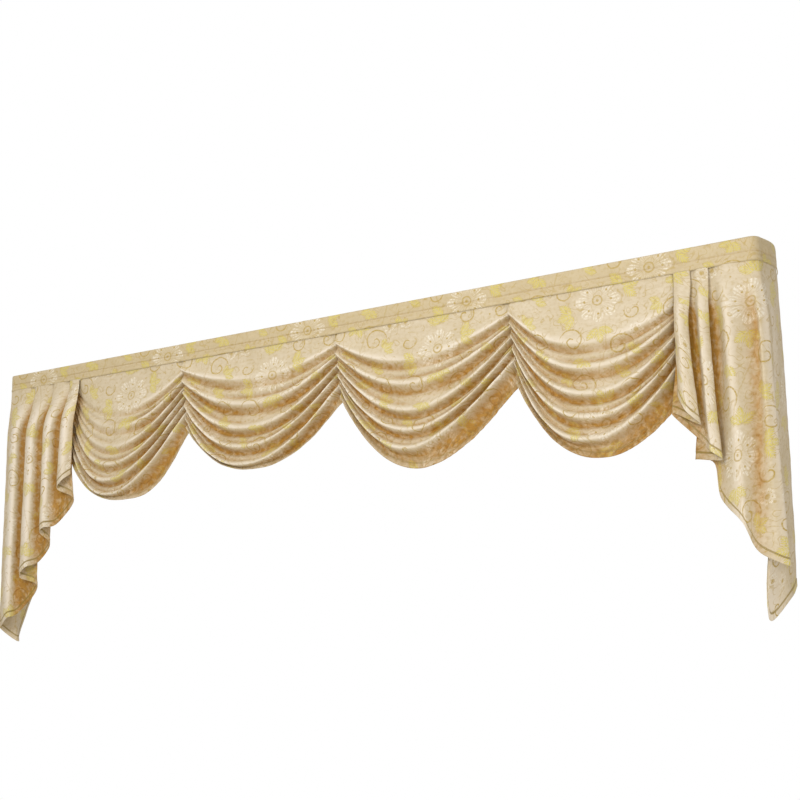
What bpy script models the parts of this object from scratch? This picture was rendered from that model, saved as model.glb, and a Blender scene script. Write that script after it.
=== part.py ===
"""A draped valance: a flat heading with returns, four swags and two pleated tails.

The origin is the middle of the heading's top edge, on its front plane.
X runs to the viewer's right, Y towards the wall and Z up. Sizes are in metres.
"""

import math
from typing import NamedTuple

import bmesh
import bpy
import numpy as np

# Heading: a flat band along the front and round both corners
HALF_WIDTH = 1.45
RETURN_DEPTH = 0.178
CORNER_RADIUS = 0.025
RETURN_BULGE = 0.014
HEADING_THICKNESS = 0.003
SEAM_LEFT = -0.058
SEAM_RIGHT = -0.068
TUCK_LINE = 0.62
SEAM_RIDGE = 0.0022
FRONT_STEPS = 10
CORNER_STEPS = 4
RETURN_STEPS = 3

# Cloth of the swags and tails
CLOTH_THICKNESS = 0.002
SEWN_GAP = 0.0003

# Swags
SWAG_COLUMNS = 22
ROWS_PER_TUCK = 2
VALLEY_SHARE = 0.40
STITCHED_DEPTH = 0.004
OVER = (0.020, 0.020)
UNDER = (-0.003, -0.003)
BEHIND_LEFT = (-0.012, 0.003)
BEHIND_RIGHT = (-0.012, -0.012)
FORWARD_LEVELS = (-0.10, -0.20)
LAP = 0.006
LAP_SHARE = 0.02
HIDDEN_SHARE = 0.07
SEAM_SHARE = 0.036
SEAM_LAP = 0.0045
HIDDEN_SEAM = 0.010
GATHER_TUCK = 0.013
TUCK_STATIONS = (0.0, 0.12, 0.28, 0.5, 0.72, 0.88, 1.0)
BELLY_POWER = 0.6
APRON_SAG = 0.007
EDGE_CROWDING = 0.09

# Tails
TAIL_ROWS = 10
COLUMNS_PER_TURN = 2
MID_LEVEL = -0.26
LOWER_SWING = 1.5


class Gather(NamedTuple):
    """The line that a swag's side is gathered to, from the seam down."""

    top_x: float
    knee_z: float
    knee_x: float
    bottom_z: float
    bottom_x: float


class Fold(NamedTuple):
    """One fold of a swag: its heights at both gathers, its lowest point, how square
    its curve is at each side, how far it stands out and how deep the tuck below it is."""

    left_z: float
    low_x: float
    low_z: float
    right_z: float
    left_power: float
    right_power: float
    proud: float
    tuck_left: float
    tuck_low: float
    tuck_right: float


class Swag(NamedTuple):
    """A swag: its gathers, how far its sides lie forward at two levels, how far its
    seam's ends lie back, and its folds."""

    left: Gather
    right: Gather
    left_forward: tuple[float, float]
    right_forward: tuple[float, float]
    left_seam: float
    right_seam: float
    folds: tuple[Fold, ...]


class Turn(NamedTuple):
    """One line down a tail where its cloth turns: places at the seam, part way and hem."""

    top_x: float
    top_y: float
    mid_x: float
    mid_y: float
    low_x: float
    low_y: float
    hem_z: float


BEHIND_LEFT_TAIL = Gather(-1.1195, -0.15, -1.140, -0.22, -1.154)
FIRST_JUNCTION = Gather(-0.600, -0.15, -0.590, -0.30, -0.570)
SECOND_JUNCTION = Gather(0.045, -0.15, 0.052, -0.28, 0.066)
THIRD_JUNCTION = Gather(0.675, -0.15, 0.682, -0.32, 0.698)
BEHIND_RIGHT_TAIL = Gather(1.222, -0.15, 1.234, -0.22, 1.250)

SWAGS = {
    "swag_1": Swag(
        BEHIND_LEFT_TAIL,
        FIRST_JUNCTION,
        BEHIND_LEFT,
        UNDER,
        HIDDEN_SEAM,
        SEAM_LAP,
        (
            Fold(-0.088, -0.85, -0.205, -0.092, 2.0, 1.9, 0.020, 0.002, 0.003, 0.012),
            Fold(-0.112, -0.85, -0.272, -0.118, 2.1, 1.9, 0.030, 0.005, 0.004, 0.022),
            Fold(-0.138, -0.87, -0.342, -0.145, 2.2, 1.9, 0.040, 0.008, 0.008, 0.030),
            Fold(-0.168, -0.88, -0.405, -0.172, 2.3, 1.9, 0.048, 0.018, 0.016, 0.032),
            Fold(-0.200, -0.89, -0.462, -0.200, 2.3, 1.9, 0.054, 0.028, 0.022, 0.032),
            Fold(-0.222, -0.88, -0.514, -0.230, 2.2, 1.9, 0.058, 0.014, 0.016, 0.030),
            Fold(-0.305, -0.81, -0.538, -0.298, 2.5, 2.6, 0.044, 0.0, 0.0, 0.0),
        ),
    ),
    "swag_2": Swag(
        FIRST_JUNCTION,
        SECOND_JUNCTION,
        OVER,
        UNDER,
        0.0,
        SEAM_LAP,
        (
            Fold(-0.098, -0.25, -0.168, -0.094, 2.3, 2.0, 0.018, 0.016, 0.005, 0.014),
            Fold(-0.140, -0.25, -0.262, -0.125, 2.3, 2.0, 0.032, 0.028, 0.014, 0.028),
            Fold(-0.182, -0.27, -0.345, -0.155, 2.3, 2.0, 0.044, 0.030, 0.020, 0.032),
            Fold(-0.230, -0.28, -0.410, -0.184, 2.3, 2.0, 0.052, 0.030, 0.022, 0.032),
            Fold(-0.278, -0.28, -0.470, -0.222, 2.3, 2.0, 0.058, 0.020, 0.014, 0.030),
            Fold(-0.308, -0.26, -0.489, -0.284, 2.2, 2.3, 0.045, 0.0, 0.0, 0.0),
        ),
    ),
    "swag_3": Swag(
        SECOND_JUNCTION,
        THIRD_JUNCTION,
        OVER,
        UNDER,
        0.0,
        SEAM_LAP,
        (
            Fold(-0.100, 0.35, -0.196, -0.096, 2.1, 1.8, 0.022, 0.018, 0.007, 0.018),
            Fold(-0.138, 0.36, -0.278, -0.130, 2.1, 1.8, 0.034, 0.026, 0.014, 0.028),
            Fold(-0.178, 0.36, -0.365, -0.162, 2.1, 1.8, 0.045, 0.030, 0.020, 0.032),
            Fold(-0.214, 0.36, -0.430, -0.196, 2.1, 1.8, 0.053, 0.030, 0.022, 0.032),
            Fold(-0.246, 0.35, -0.488, -0.234, 2.1, 1.7, 0.060, 0.024, 0.020, 0.032),
            Fold(-0.284, 0.38, -0.554, -0.322, 2.05, 1.85, 0.046, 0.0, 0.0, 0.0),
        ),
    ),
    "swag_4": Swag(
        THIRD_JUNCTION,
        BEHIND_RIGHT_TAIL,
        OVER,
        BEHIND_RIGHT,
        0.0,
        HIDDEN_SEAM,
        (
            Fold(-0.102, 0.95, -0.234, -0.130, 2.4, 1.9, 0.024, 0.018, 0.009, 0.014),
            Fold(-0.136, 0.97, -0.315, -0.158, 2.5, 1.9, 0.036, 0.028, 0.016, 0.024),
            Fold(-0.176, 0.97, -0.395, -0.184, 2.5, 1.9, 0.047, 0.030, 0.020, 0.028),
            Fold(-0.220, 0.97, -0.466, -0.212, 2.6, 1.9, 0.055, 0.030, 0.022, 0.030),
            Fold(-0.262, 0.96, -0.530, -0.245, 2.7, 1.9, 0.060, 0.024, 0.018, 0.028),
            Fold(-0.328, 0.99, -0.587, -0.375, 2.4, 1.85, 0.046, 0.0, 0.0, 0.0),
        ),
    ),
}

TAILS = {
    "tail_left": (
        Turn(-1.0900, -0.0010, -1.088, -0.030, -1.088, -0.034, -0.418),
        Turn(-1.1080, -0.0040, -1.110, -0.054, -1.112, -0.060, -0.446),
        Turn(-1.1350, -0.0010, -1.142, -0.038, -1.144, -0.042, -0.470),
        Turn(-1.1180, 0.0050, -1.104, -0.020, -1.082, -0.020, -0.512),
        Turn(-1.1400, 0.0045, -1.166, -0.016, -1.166, -0.018, -0.592),
        Turn(-1.1750, -0.0020, -1.194, -0.050, -1.196, -0.056, -0.606),
        Turn(-1.2150, -0.0010, -1.232, -0.034, -1.228, -0.036, -0.622),
        Turn(-1.1980, 0.0050, -1.200, -0.012, -1.202, -0.012, -0.662),
        Turn(-1.2200, 0.0045, -1.256, -0.011, -1.254, -0.012, -0.722),
        Turn(-1.2600, -0.0020, -1.284, -0.044, -1.286, -0.050, -0.744),
        Turn(-1.3100, -0.0010, -1.326, -0.026, -1.328, -0.030, -0.775),
        Turn(-1.2930, 0.0050, -1.278, -0.004, -1.262, -0.006, -0.812),
        Turn(-1.3150, 0.0045, -1.350, -0.004, -1.350, -0.008, -0.900),
        Turn(-1.3550, -0.0020, -1.376, -0.036, -1.374, -0.042, -0.920),
        Turn(-1.4250, 0.0000, -1.425, -0.016, -1.420, -0.022, -0.944),
        Turn(-1.4427, 0.0073, -1.452, 0.004, -1.452, 0.004, -0.952),
        Turn(-1.4515, 0.0300, -1.456, 0.035, -1.392, 0.035, -1.000),
        Turn(-1.4640, 0.1000, -1.458, 0.100, -1.440, 0.090, -0.962),
        Turn(-1.4500, 0.1780, -1.450, 0.178, -1.450, 0.168, -0.800),
    ),
    "tail_right": (
        Turn(1.2000, -0.0010, 1.203, -0.032, 1.203, -0.036, -0.436),
        Turn(1.2220, -0.0040, 1.224, -0.054, 1.230, -0.060, -0.486),
        Turn(1.2500, -0.0010, 1.248, -0.040, 1.264, -0.044, -0.526),
        Turn(1.2350, 0.0050, 1.205, -0.022, 1.176, -0.024, -0.480),
        Turn(1.2540, 0.0045, 1.262, -0.020, 1.268, -0.024, -0.580),
        Turn(1.2740, -0.0020, 1.284, -0.050, 1.292, -0.054, -0.606),
        Turn(1.3030, -0.0010, 1.306, -0.034, 1.316, -0.038, -0.630),
        Turn(1.2880, 0.0055, 1.268, -0.010, 1.232, -0.010, -0.615),
        Turn(1.2980, 0.0062, 1.300, -0.012, 1.286, -0.012, -0.632),
        Turn(1.3120, 0.0052, 1.330, -0.015, 1.299, -0.018, -0.728),
        Turn(1.3460, -0.0020, 1.362, -0.048, 1.364, -0.052, -0.808),
        Turn(1.3950, -0.0005, 1.425, -0.010, 1.391, -0.030, -0.880),
        Turn(1.4250, 0.0000, 1.444, -0.022, 1.446, -0.030, -0.916),
        Turn(1.4427, 0.0073, 1.462, -0.004, 1.470, -0.004, -0.926),
        Turn(1.4481, 0.0154, 1.465, 0.012, 1.408, 0.016, -0.902),
        Turn(1.4515, 0.0300, 1.464, 0.030, 1.393, 0.026, -1.062),
        Turn(1.4640, 0.1000, 1.460, 0.100, 1.438, 0.088, -1.004),
        Turn(1.4500, 0.1780, 1.450, 0.178, 1.440, 0.153, -0.966),
    ),
}


def seam_z(x):
    """The height of the heading's lower seam at x."""
    share = (x + HALF_WIDTH) / (2 * HALF_WIDTH)
    return SEAM_LEFT + (SEAM_RIGHT - SEAM_LEFT) * share


def smoothed(lines, steps):
    """Lines of points with more lines between them, on curves through the given ones."""
    first = 2 * lines[:1] - lines[1:2]
    last = 2 * lines[-1:] - lines[-2:-1]
    run = np.concatenate([first, lines, last])
    found = []
    for before, start, end, after in zip(run, run[1:], run[2:], run[3:]):
        for share in np.arange(steps) / steps:
            bend = 2 * before - 5 * start + 4 * end - after
            turn = 3 * start - before - 3 * end + after
            rise = (end - before) * share
            found.append(start + (rise + bend * share**2 + turn * share**3) / 2)
    found.append(lines[-1])
    return np.array(found)


def eased(share):
    """A share from 0 to 1 that starts and ends gently."""
    share = np.clip(share, 0, 1)
    return share * share * (3 - 2 * share)


def gather_x(gather, z):
    """Where the gather's line is at height z."""
    levels = (gather.bottom_z, gather.knee_z, seam_z(gather.top_x))
    return float(np.interp(z, levels, (gather.bottom_x, gather.knee_x, gather.top_x)))


def side_places(swag, left_z, right_z):
    """The x of a swag's two sides at the given heights, with the right one lapped under."""
    return gather_x(swag.left, left_z), gather_x(swag.right, right_z) + LAP


def hanging(fold, left_x, right_x, shares):
    """The x and z of a line that hangs from side to side through the fold's lowest point."""
    x = left_x + (right_x - left_x) * shares
    to_left = np.clip((fold.low_x - x) / (fold.low_x - left_x), 0, 1) ** fold.left_power
    to_right = np.clip((x - fold.low_x) / (right_x - fold.low_x), 0, 1) ** fold.right_power
    left_rise = (fold.left_z - fold.low_z) * to_left
    right_rise = (fold.right_z - fold.low_z) * to_right
    return x, fold.low_z + left_rise + right_rise


def forward_at(forward, z):
    """How far forward a swag's side lies at height z."""
    return float(np.interp(-z, [-level for level in FORWARD_LEVELS], forward))


def swag_lines(swag, shares):
    """A swag's seam, and the lines below it that its surface passes through."""
    start = HIDDEN_SHARE if swag.left_seam else LAP_SHARE
    end = HIDDEN_SHARE if swag.right_seam == HIDDEN_SEAM else LAP_SHARE
    belly = np.sin(math.pi * np.clip((shares - start) / (1 - start - end), 0, 1))
    belly = np.clip(belly, 0, 1) ** BELLY_POWER
    crests, tucks = [], []
    for fold in swag.folds:
        left_x, right_x = side_places(swag, fold.left_z, fold.right_z)
        x, z = hanging(fold, left_x, right_x, shares)
        left_side = forward_at(swag.left_forward, fold.left_z)
        right_side = forward_at(swag.right_forward, fold.right_z)
        side = left_side + (right_side - left_side) * shares
        y = -side - (fold.proud - side) * belly
        left, low, right = fold.tuck_left, fold.tuck_low, fold.tuck_right
        depths = (GATHER_TUCK, left, left, low, right, right, GATHER_TUCK)
        crests.append(np.stack([x, y, z], axis=1))
        tucks.append(np.interp(shares, TUCK_STATIONS, depths))
    left_x, right_x = swag.left.top_x, swag.right.top_x + LAP
    x = left_x + (right_x - left_x) * shares
    left_back = eased((2 * SEAM_SHARE - shares) / SEAM_SHARE)
    right_back = eased((shares - 1 + 2 * SEAM_SHARE) / SEAM_SHARE)
    y = swag.left_seam * left_back + swag.right_seam * right_back
    seam = np.stack([x, y, seam_z(x) - SEWN_GAP], axis=1)
    stitched = seam - (0.0, 0.0, STITCHED_DEPTH)
    apron = (stitched + crests[0]) / 2
    apron[:, 1] += APRON_SAG * belly
    lines = [stitched, apron]
    for crest, below, tuck in zip(crests, crests[1:], tucks):
        valley = crest + (below - crest) * VALLEY_SHARE
        valley[:, 1] += tuck
        lines += [crest, valley]
    lines.append(crests[-1])
    return seam, np.array(lines)


def swag_points(swag):
    """A grid of points over a swag, from its seam down to its hem."""
    run = np.linspace(0, 1, SWAG_COLUMNS + 1)
    shares = run - EDGE_CROWDING * np.sin(2 * math.pi * run)
    seam, lines = swag_lines(swag, shares)
    return np.concatenate([seam[None], smoothed(lines, ROWS_PER_TUCK)])


def tail_points(turns):
    """A grid of points over a tail, from its seam down to its slanting hem."""
    lines = []
    for turn in turns:
        top_z = seam_z(turn.top_x) - SEWN_GAP
        free_z = top_z - STITCHED_DEPTH
        z = np.append(top_z, np.linspace(free_z, turn.hem_z, TAIL_ROWS + 1))
        upper = eased((free_z - z) / (free_z - MID_LEVEL))
        lower = np.clip((MID_LEVEL - z) / (MID_LEVEL - turn.hem_z), 0, 1) ** LOWER_SWING
        x = turn.top_x + (turn.mid_x - turn.top_x) * upper + (turn.low_x - turn.mid_x) * lower
        y = turn.top_y + (turn.mid_y - turn.top_y) * upper + (turn.low_y - turn.mid_y) * lower
        lines.append(np.stack([x, y, z], axis=1))
    return smoothed(np.array(lines), COLUMNS_PER_TURN)


def heading_path():
    """Points along the heading's middle line and the directions out of it."""
    points, outward = [], []
    for share in np.arange(RETURN_STEPS) / RETURN_STEPS:
        bulge = RETURN_BULGE * math.sin(math.pi * share)
        y = RETURN_DEPTH + (CORNER_RADIUS - RETURN_DEPTH) * share
        points.append((-HALF_WIDTH - bulge, y))
        outward.append((-1.0, 0.0))
    for angle in np.linspace(math.pi, 1.5 * math.pi, CORNER_STEPS + 1):
        across, along = math.cos(angle), math.sin(angle)
        centre = CORNER_RADIUS - HALF_WIDTH
        points.append((centre + CORNER_RADIUS * across, CORNER_RADIUS * (1 + along)))
        outward.append((across, along))
    reach = HALF_WIDTH - CORNER_RADIUS
    for x in np.linspace(-reach, 0, FRONT_STEPS // 2 + 1)[1:]:
        points.append((x, 0.0))
        outward.append((0.0, -1.0))
    points += [(-x, y) for x, y in points[-2::-1]]
    outward += [(-x, y) for x, y in outward[-2::-1]]
    return np.array(points), np.array(outward)


def heading_points():
    """A grid of points over the heading, from its top edge down to its seam ridge."""
    points, outward = heading_path()
    profile = (
        (0.0, 0.0),
        (0.30, 0.0),
        (TUCK_LINE - 0.06, 0.0006),
        (TUCK_LINE, -0.0012),
        (TUCK_LINE + 0.06, 0.0004),
        (0.84, 0.0),
        (0.90, SEAM_RIDGE),
        (0.95, 0.0),
        (1.0, 0.0),
    )
    rows = []
    for share, proud in profile:
        x, y = (points + outward * proud).T
        rows.append(np.stack([x, y, seam_z(points[:, 0]) * share], axis=1))
    return np.array(rows)


def cloth_material(name, colour, roughness):
    """A plain cloth finish of its own for one piece."""
    material = bpy.data.materials.new(name)
    material.use_nodes = True
    shader = material.node_tree.nodes["Principled BSDF"]
    shader.inputs["Base Color"].default_value = (*colour, 1.0)
    shader.inputs["Roughness"].default_value = roughness
    return material


def add_cloth(name, points, thickness, material, collection):
    """A sheet of cloth through a grid of points, with its thickness."""
    rows, columns = points.shape[:2]
    sheet = bmesh.new()
    bmesh.ops.create_grid(sheet, x_segments=columns - 1, y_segments=rows - 1, size=0.5)
    for vert, place in zip(sheet.verts, points.reshape(-1, 3)):
        vert.co = place
    for face in sheet.faces:
        face.smooth = True
    mesh = bpy.data.meshes.new(name)
    sheet.to_mesh(mesh)
    sheet.free()
    mesh.materials.append(material)
    cloth = bpy.data.objects.new(name, mesh)
    collection.objects.link(cloth)
    wall = cloth.modifiers.new("Cloth thickness", "SOLIDIFY")
    wall.thickness = thickness
    wall.offset = 0.0
    wall.use_quality_normals = True
    return cloth


def main():
    """Builds the heading, the swags and the tails."""
    for old in list(bpy.data.objects):
        bpy.data.objects.remove(old)
    valance = bpy.data.collections.new("valance")
    bpy.context.scene.collection.children.link(valance)
    heading = cloth_material("Heading cloth", (0.66, 0.56, 0.40), 0.6)
    add_cloth("heading_band", heading_points(), HEADING_THICKNESS, heading, valance)
    for name, swag in SWAGS.items():
        cloth = cloth_material(f"Cloth of {name}", (0.68, 0.57, 0.39), 0.55)
        add_cloth(name, swag_points(swag), CLOTH_THICKNESS, cloth, valance)
    for name, turns in TAILS.items():
        cloth = cloth_material(f"Cloth of {name}", (0.70, 0.60, 0.43), 0.55)
        add_cloth(name, tail_points(turns), CLOTH_THICKNESS, cloth, valance)


main()
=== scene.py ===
"""Dresses a draped valance: its heading, four swags, two pleated tails and their stitching.

X runs to the viewer's right, Y towards the wall and Z up, in metres. The origin is the
middle of the heading's top edge, on its front plane.
"""

import logging
import math
from dataclasses import dataclass, field
from enum import Enum
from typing import Any, NamedTuple

import bmesh
import bpy
import numpy as np
from mathutils import Matrix, Vector


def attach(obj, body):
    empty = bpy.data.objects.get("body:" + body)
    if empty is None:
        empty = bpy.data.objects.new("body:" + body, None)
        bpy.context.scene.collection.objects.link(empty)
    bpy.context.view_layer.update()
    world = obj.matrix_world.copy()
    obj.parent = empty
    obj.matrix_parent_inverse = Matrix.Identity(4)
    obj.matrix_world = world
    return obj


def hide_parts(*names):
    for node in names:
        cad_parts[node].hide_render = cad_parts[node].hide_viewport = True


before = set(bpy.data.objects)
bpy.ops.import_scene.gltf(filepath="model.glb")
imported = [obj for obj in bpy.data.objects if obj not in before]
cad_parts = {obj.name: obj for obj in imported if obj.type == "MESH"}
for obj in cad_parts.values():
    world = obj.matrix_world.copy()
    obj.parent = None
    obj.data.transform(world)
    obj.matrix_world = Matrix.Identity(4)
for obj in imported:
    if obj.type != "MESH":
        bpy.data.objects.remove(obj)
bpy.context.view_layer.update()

LOG = logging.getLogger("valance")

HALF_WIDTH = 1.45
SEAM_LEFT = -0.058
SEAM_RIGHT = -0.068
SEWN_GAP = 0.0003
STITCHED_DEPTH = 0.004
CLOTH_THICKNESS = 0.0012
HEM_DEPTH = 0.020
THREAD_LIFT = 0.0003

# A swag's points hold their x, y and z, and then these three.
DEPTH, TUCK, SHADE = 3, 4, 5


class Held(Enum):
    """How a sheet of cloth is held."""

    HUNG = "hung"
    DRAPED = "draped"
    GATHERED = "gathered"


class Gather(NamedTuple):
    """The line that a swag's side is gathered to, from the seam down."""

    top_x: float
    knee_z: float
    knee_x: float
    bottom_z: float
    bottom_x: float


class Fold(NamedTuple):
    """One fold of a swag.

    Its heights at both gathers, its lowest point, how square its curve is at each side,
    how far it stands out and how deep the tuck below it is at the left, low and right.
    """

    left_z: float
    low_x: float
    low_z: float
    right_z: float
    left_power: float
    right_power: float
    proud: float
    tuck_left: float
    tuck_low: float
    tuck_right: float


class Turn(NamedTuple):
    """One line down a tail where its cloth turns.

    Its places at the seam, part way and hem, and how deep in a fold it lies, from 0 to 1,
    which sets its painted shade, or how strong a painted highlight it gets on a fold's crest, below 0.
    """

    top_x: float
    top_y: float
    mid_x: float
    mid_y: float
    low_x: float
    low_y: float
    hem_z: float
    depth: float


BEHIND_LEFT_TAIL = Gather(-1.1195, -0.15, -1.140, -0.22, -1.154)
FIRST_JUNCTION = Gather(-0.600, -0.15, -0.590, -0.30, -0.570)
SECOND_JUNCTION = Gather(0.045, -0.15, 0.052, -0.28, 0.066)
THIRD_JUNCTION = Gather(0.675, -0.15, 0.682, -0.32, 0.698)
BEHIND_RIGHT_TAIL = Gather(1.222, -0.15, 1.234, -0.22, 1.250)

OVER = (0.020, 0.020)
UNDER = (-0.003, -0.003)
BEHIND_LEFT = (-0.012, 0.003)
BEHIND_RIGHT = (-0.012, -0.012)
SEAM_LAP = 0.0045
HIDDEN_SEAM = 0.010

SWAG_1_FOLDS = (
    Fold(-0.088, -0.85, -0.205, -0.092, 2.0, 1.9, 0.020, 0.002, 0.003, 0.012),
    Fold(-0.112, -0.85, -0.272, -0.118, 2.1, 1.9, 0.030, 0.005, 0.004, 0.022),
    Fold(-0.138, -0.87, -0.342, -0.145, 2.2, 1.9, 0.040, 0.008, 0.008, 0.030),
    Fold(-0.168, -0.88, -0.405, -0.172, 2.3, 1.9, 0.048, 0.018, 0.016, 0.032),
    Fold(-0.200, -0.89, -0.462, -0.200, 2.3, 1.9, 0.054, 0.028, 0.022, 0.032),
    Fold(-0.222, -0.88, -0.514, -0.230, 2.2, 1.9, 0.058, 0.014, 0.016, 0.030),
    Fold(-0.305, -0.81, -0.538, -0.298, 2.5, 2.6, 0.044, 0.0, 0.0, 0.0),
)
SWAG_2_FOLDS = (
    Fold(-0.098, -0.25, -0.168, -0.094, 2.3, 2.0, 0.018, 0.016, 0.005, 0.014),
    Fold(-0.140, -0.25, -0.262, -0.125, 2.3, 2.0, 0.032, 0.028, 0.014, 0.028),
    Fold(-0.182, -0.27, -0.345, -0.155, 2.3, 2.0, 0.044, 0.030, 0.020, 0.032),
    Fold(-0.230, -0.28, -0.410, -0.184, 2.3, 2.0, 0.052, 0.030, 0.022, 0.032),
    Fold(-0.278, -0.28, -0.470, -0.222, 2.3, 2.0, 0.058, 0.020, 0.014, 0.030),
    Fold(-0.308, -0.26, -0.489, -0.284, 2.2, 2.3, 0.045, 0.0, 0.0, 0.0),
)
SWAG_3_FOLDS = (
    Fold(-0.100, 0.35, -0.196, -0.096, 2.1, 1.8, 0.022, 0.018, 0.007, 0.018),
    Fold(-0.138, 0.36, -0.278, -0.130, 2.1, 1.8, 0.034, 0.026, 0.014, 0.028),
    Fold(-0.178, 0.36, -0.365, -0.162, 2.1, 1.8, 0.045, 0.030, 0.020, 0.032),
    Fold(-0.214, 0.36, -0.430, -0.196, 2.1, 1.8, 0.053, 0.030, 0.022, 0.032),
    Fold(-0.246, 0.35, -0.488, -0.234, 2.1, 1.7, 0.060, 0.024, 0.020, 0.032),
    Fold(-0.284, 0.38, -0.554, -0.322, 2.05, 1.85, 0.046, 0.0, 0.0, 0.0),
)
SWAG_4_FOLDS = (
    Fold(-0.102, 0.95, -0.234, -0.130, 2.4, 1.9, 0.024, 0.018, 0.009, 0.014),
    Fold(-0.136, 0.97, -0.315, -0.158, 2.5, 1.9, 0.036, 0.028, 0.016, 0.024),
    Fold(-0.176, 0.97, -0.395, -0.184, 2.5, 1.9, 0.047, 0.030, 0.020, 0.028),
    Fold(-0.220, 0.97, -0.466, -0.212, 2.6, 1.9, 0.055, 0.030, 0.022, 0.030),
    Fold(-0.262, 0.96, -0.530, -0.245, 2.7, 1.9, 0.060, 0.024, 0.018, 0.028),
    Fold(-0.328, 0.99, -0.587, -0.375, 2.4, 1.85, 0.046, 0.0, 0.0, 0.0),
)

LEFT_TAIL_TURNS = (
    Turn(-1.0900, -0.0010, -1.088, -0.030, -1.088, -0.034, -0.418, 0.3),
    Turn(-1.1080, -0.0040, -1.110, -0.054, -1.112, -0.060, -0.446, -0.35),
    Turn(-1.1350, -0.0010, -1.142, -0.038, -1.144, -0.042, -0.470, 0.2),
    Turn(-1.1180, 0.0050, -1.104, -0.020, -1.082, -0.020, -0.512, 0.7),
    Turn(-1.1400, 0.0045, -1.166, -0.016, -1.166, -0.018, -0.592, 1.0),
    Turn(-1.1750, -0.0020, -1.194, -0.050, -1.196, -0.056, -0.606, -0.35),
    Turn(-1.2150, -0.0010, -1.232, -0.034, -1.228, -0.036, -0.622, 0.2),
    Turn(-1.1980, 0.0050, -1.200, -0.012, -1.202, -0.012, -0.662, 0.7),
    Turn(-1.2200, 0.0045, -1.256, -0.011, -1.254, -0.012, -0.722, 1.0),
    Turn(-1.2600, -0.0020, -1.284, -0.044, -1.286, -0.050, -0.744, -0.35),
    Turn(-1.3100, -0.0010, -1.326, -0.026, -1.328, -0.030, -0.775, 0.2),
    Turn(-1.2930, 0.0050, -1.278, -0.004, -1.262, -0.006, -0.812, 0.7),
    Turn(-1.3150, 0.0045, -1.350, -0.004, -1.350, -0.008, -0.900, 1.0),
    Turn(-1.3550, -0.0020, -1.376, -0.036, -1.374, -0.042, -0.920, -0.35),
    Turn(-1.4250, 0.0000, -1.425, -0.016, -1.420, -0.022, -0.944, 0.1),
    Turn(-1.4427, 0.0073, -1.452, 0.004, -1.452, 0.004, -0.952, 0.1),
    Turn(-1.4515, 0.0300, -1.456, 0.035, -1.392, 0.035, -1.000, 0.1),
    Turn(-1.4640, 0.1000, -1.458, 0.100, -1.440, 0.090, -0.962, 0.1),
    Turn(-1.4500, 0.1780, -1.450, 0.178, -1.450, 0.168, -0.800, 0.2),
)
RIGHT_TAIL_TURNS = (
    Turn(1.2000, -0.0010, 1.203, -0.032, 1.203, -0.036, -0.436, 0.2),
    Turn(1.2220, -0.0040, 1.224, -0.054, 1.230, -0.060, -0.486, -0.20),
    Turn(1.2500, -0.0010, 1.248, -0.040, 1.264, -0.044, -0.526, 0.4),
    Turn(1.2350, 0.0050, 1.205, -0.022, 1.176, -0.024, -0.480, 0.95),
    Turn(1.2540, 0.0045, 1.262, -0.020, 1.268, -0.024, -0.580, 0.8),
    Turn(1.2740, -0.0020, 1.284, -0.050, 1.292, -0.054, -0.606, -0.20),
    Turn(1.3030, -0.0010, 1.306, -0.034, 1.316, -0.038, -0.630, 0.3),
    Turn(1.2880, 0.0055, 1.268, -0.010, 1.232, -0.010, -0.615, 1.0),
    Turn(1.2980, 0.0062, 1.300, -0.012, 1.286, -0.012, -0.632, 1.0),
    Turn(1.3120, 0.0052, 1.330, -0.015, 1.299, -0.018, -0.728, 0.55),
    Turn(1.3460, -0.0020, 1.362, -0.048, 1.364, -0.052, -0.808, -0.20),
    Turn(1.3950, -0.0005, 1.425, -0.010, 1.391, -0.030, -0.880, 0.68),
    Turn(1.4250, 0.0000, 1.444, -0.022, 1.446, -0.030, -0.916, 0.1),
    Turn(1.4427, 0.0073, 1.462, -0.004, 1.470, -0.004, -0.926, -0.20),
    Turn(1.4481, 0.0154, 1.465, 0.012, 1.408, 0.016, -0.902, 0.3),
    Turn(1.4515, 0.0300, 1.464, 0.030, 1.393, 0.026, -1.062, -0.2),
    Turn(1.4640, 0.1000, 1.460, 0.100, 1.438, 0.088, -1.004, 0.1),
    Turn(1.4500, 0.1780, 1.450, 0.178, 1.440, 0.153, -0.966, 0.2),
)


def linear(colour: str) -> tuple[float, float, float, float]:
    """An sRGB hex colour as linear RGBA.

    Args:
        colour: The colour, such as "#d8c8ac".

    Returns:
        Its linear red, green and blue, and an alpha of 1.
    """
    parts = [int(colour[place:place + 2], 16) / 255 for place in (1, 3, 5)]
    made = [part / 12.92 if part <= 0.04045 else ((part + 0.055) / 1.055) ** 2.4 for part in parts]
    return (made[0], made[1], made[2], 1.0)


def add_node(
    tree: bpy.types.NodeTree, kind: str, inputs: dict | None = None, **settings: Any
) -> bpy.types.Node:
    """Adds a node with its settings and links.

    Args:
        tree: The tree that the node goes into.
        kind: The node's type.
        inputs: By socket name or number, a value or the output that feeds it.
        settings: The node's own properties.

    Returns:
        The new node.
    """
    node = tree.nodes.new(kind)
    for name, value in settings.items():
        setattr(node, name, value)
    for socket, value in (inputs or {}).items():
        if isinstance(value, bpy.types.NodeSocket):
            tree.links.new(value, node.inputs[socket])
        else:
            node.inputs[socket].default_value = value
    return node


class Step(NamedTuple):
    """One node of a table: its result's name, its type, its settings, its inputs and its output.

    The settings are the node's own properties, or the bare name of a maths operation. The inputs
    go by place or by socket, and the words among them name the results of earlier steps.
    """

    name: str
    kind: str
    settings: dict | str
    inputs: tuple | dict
    output: int | str = 0


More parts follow.
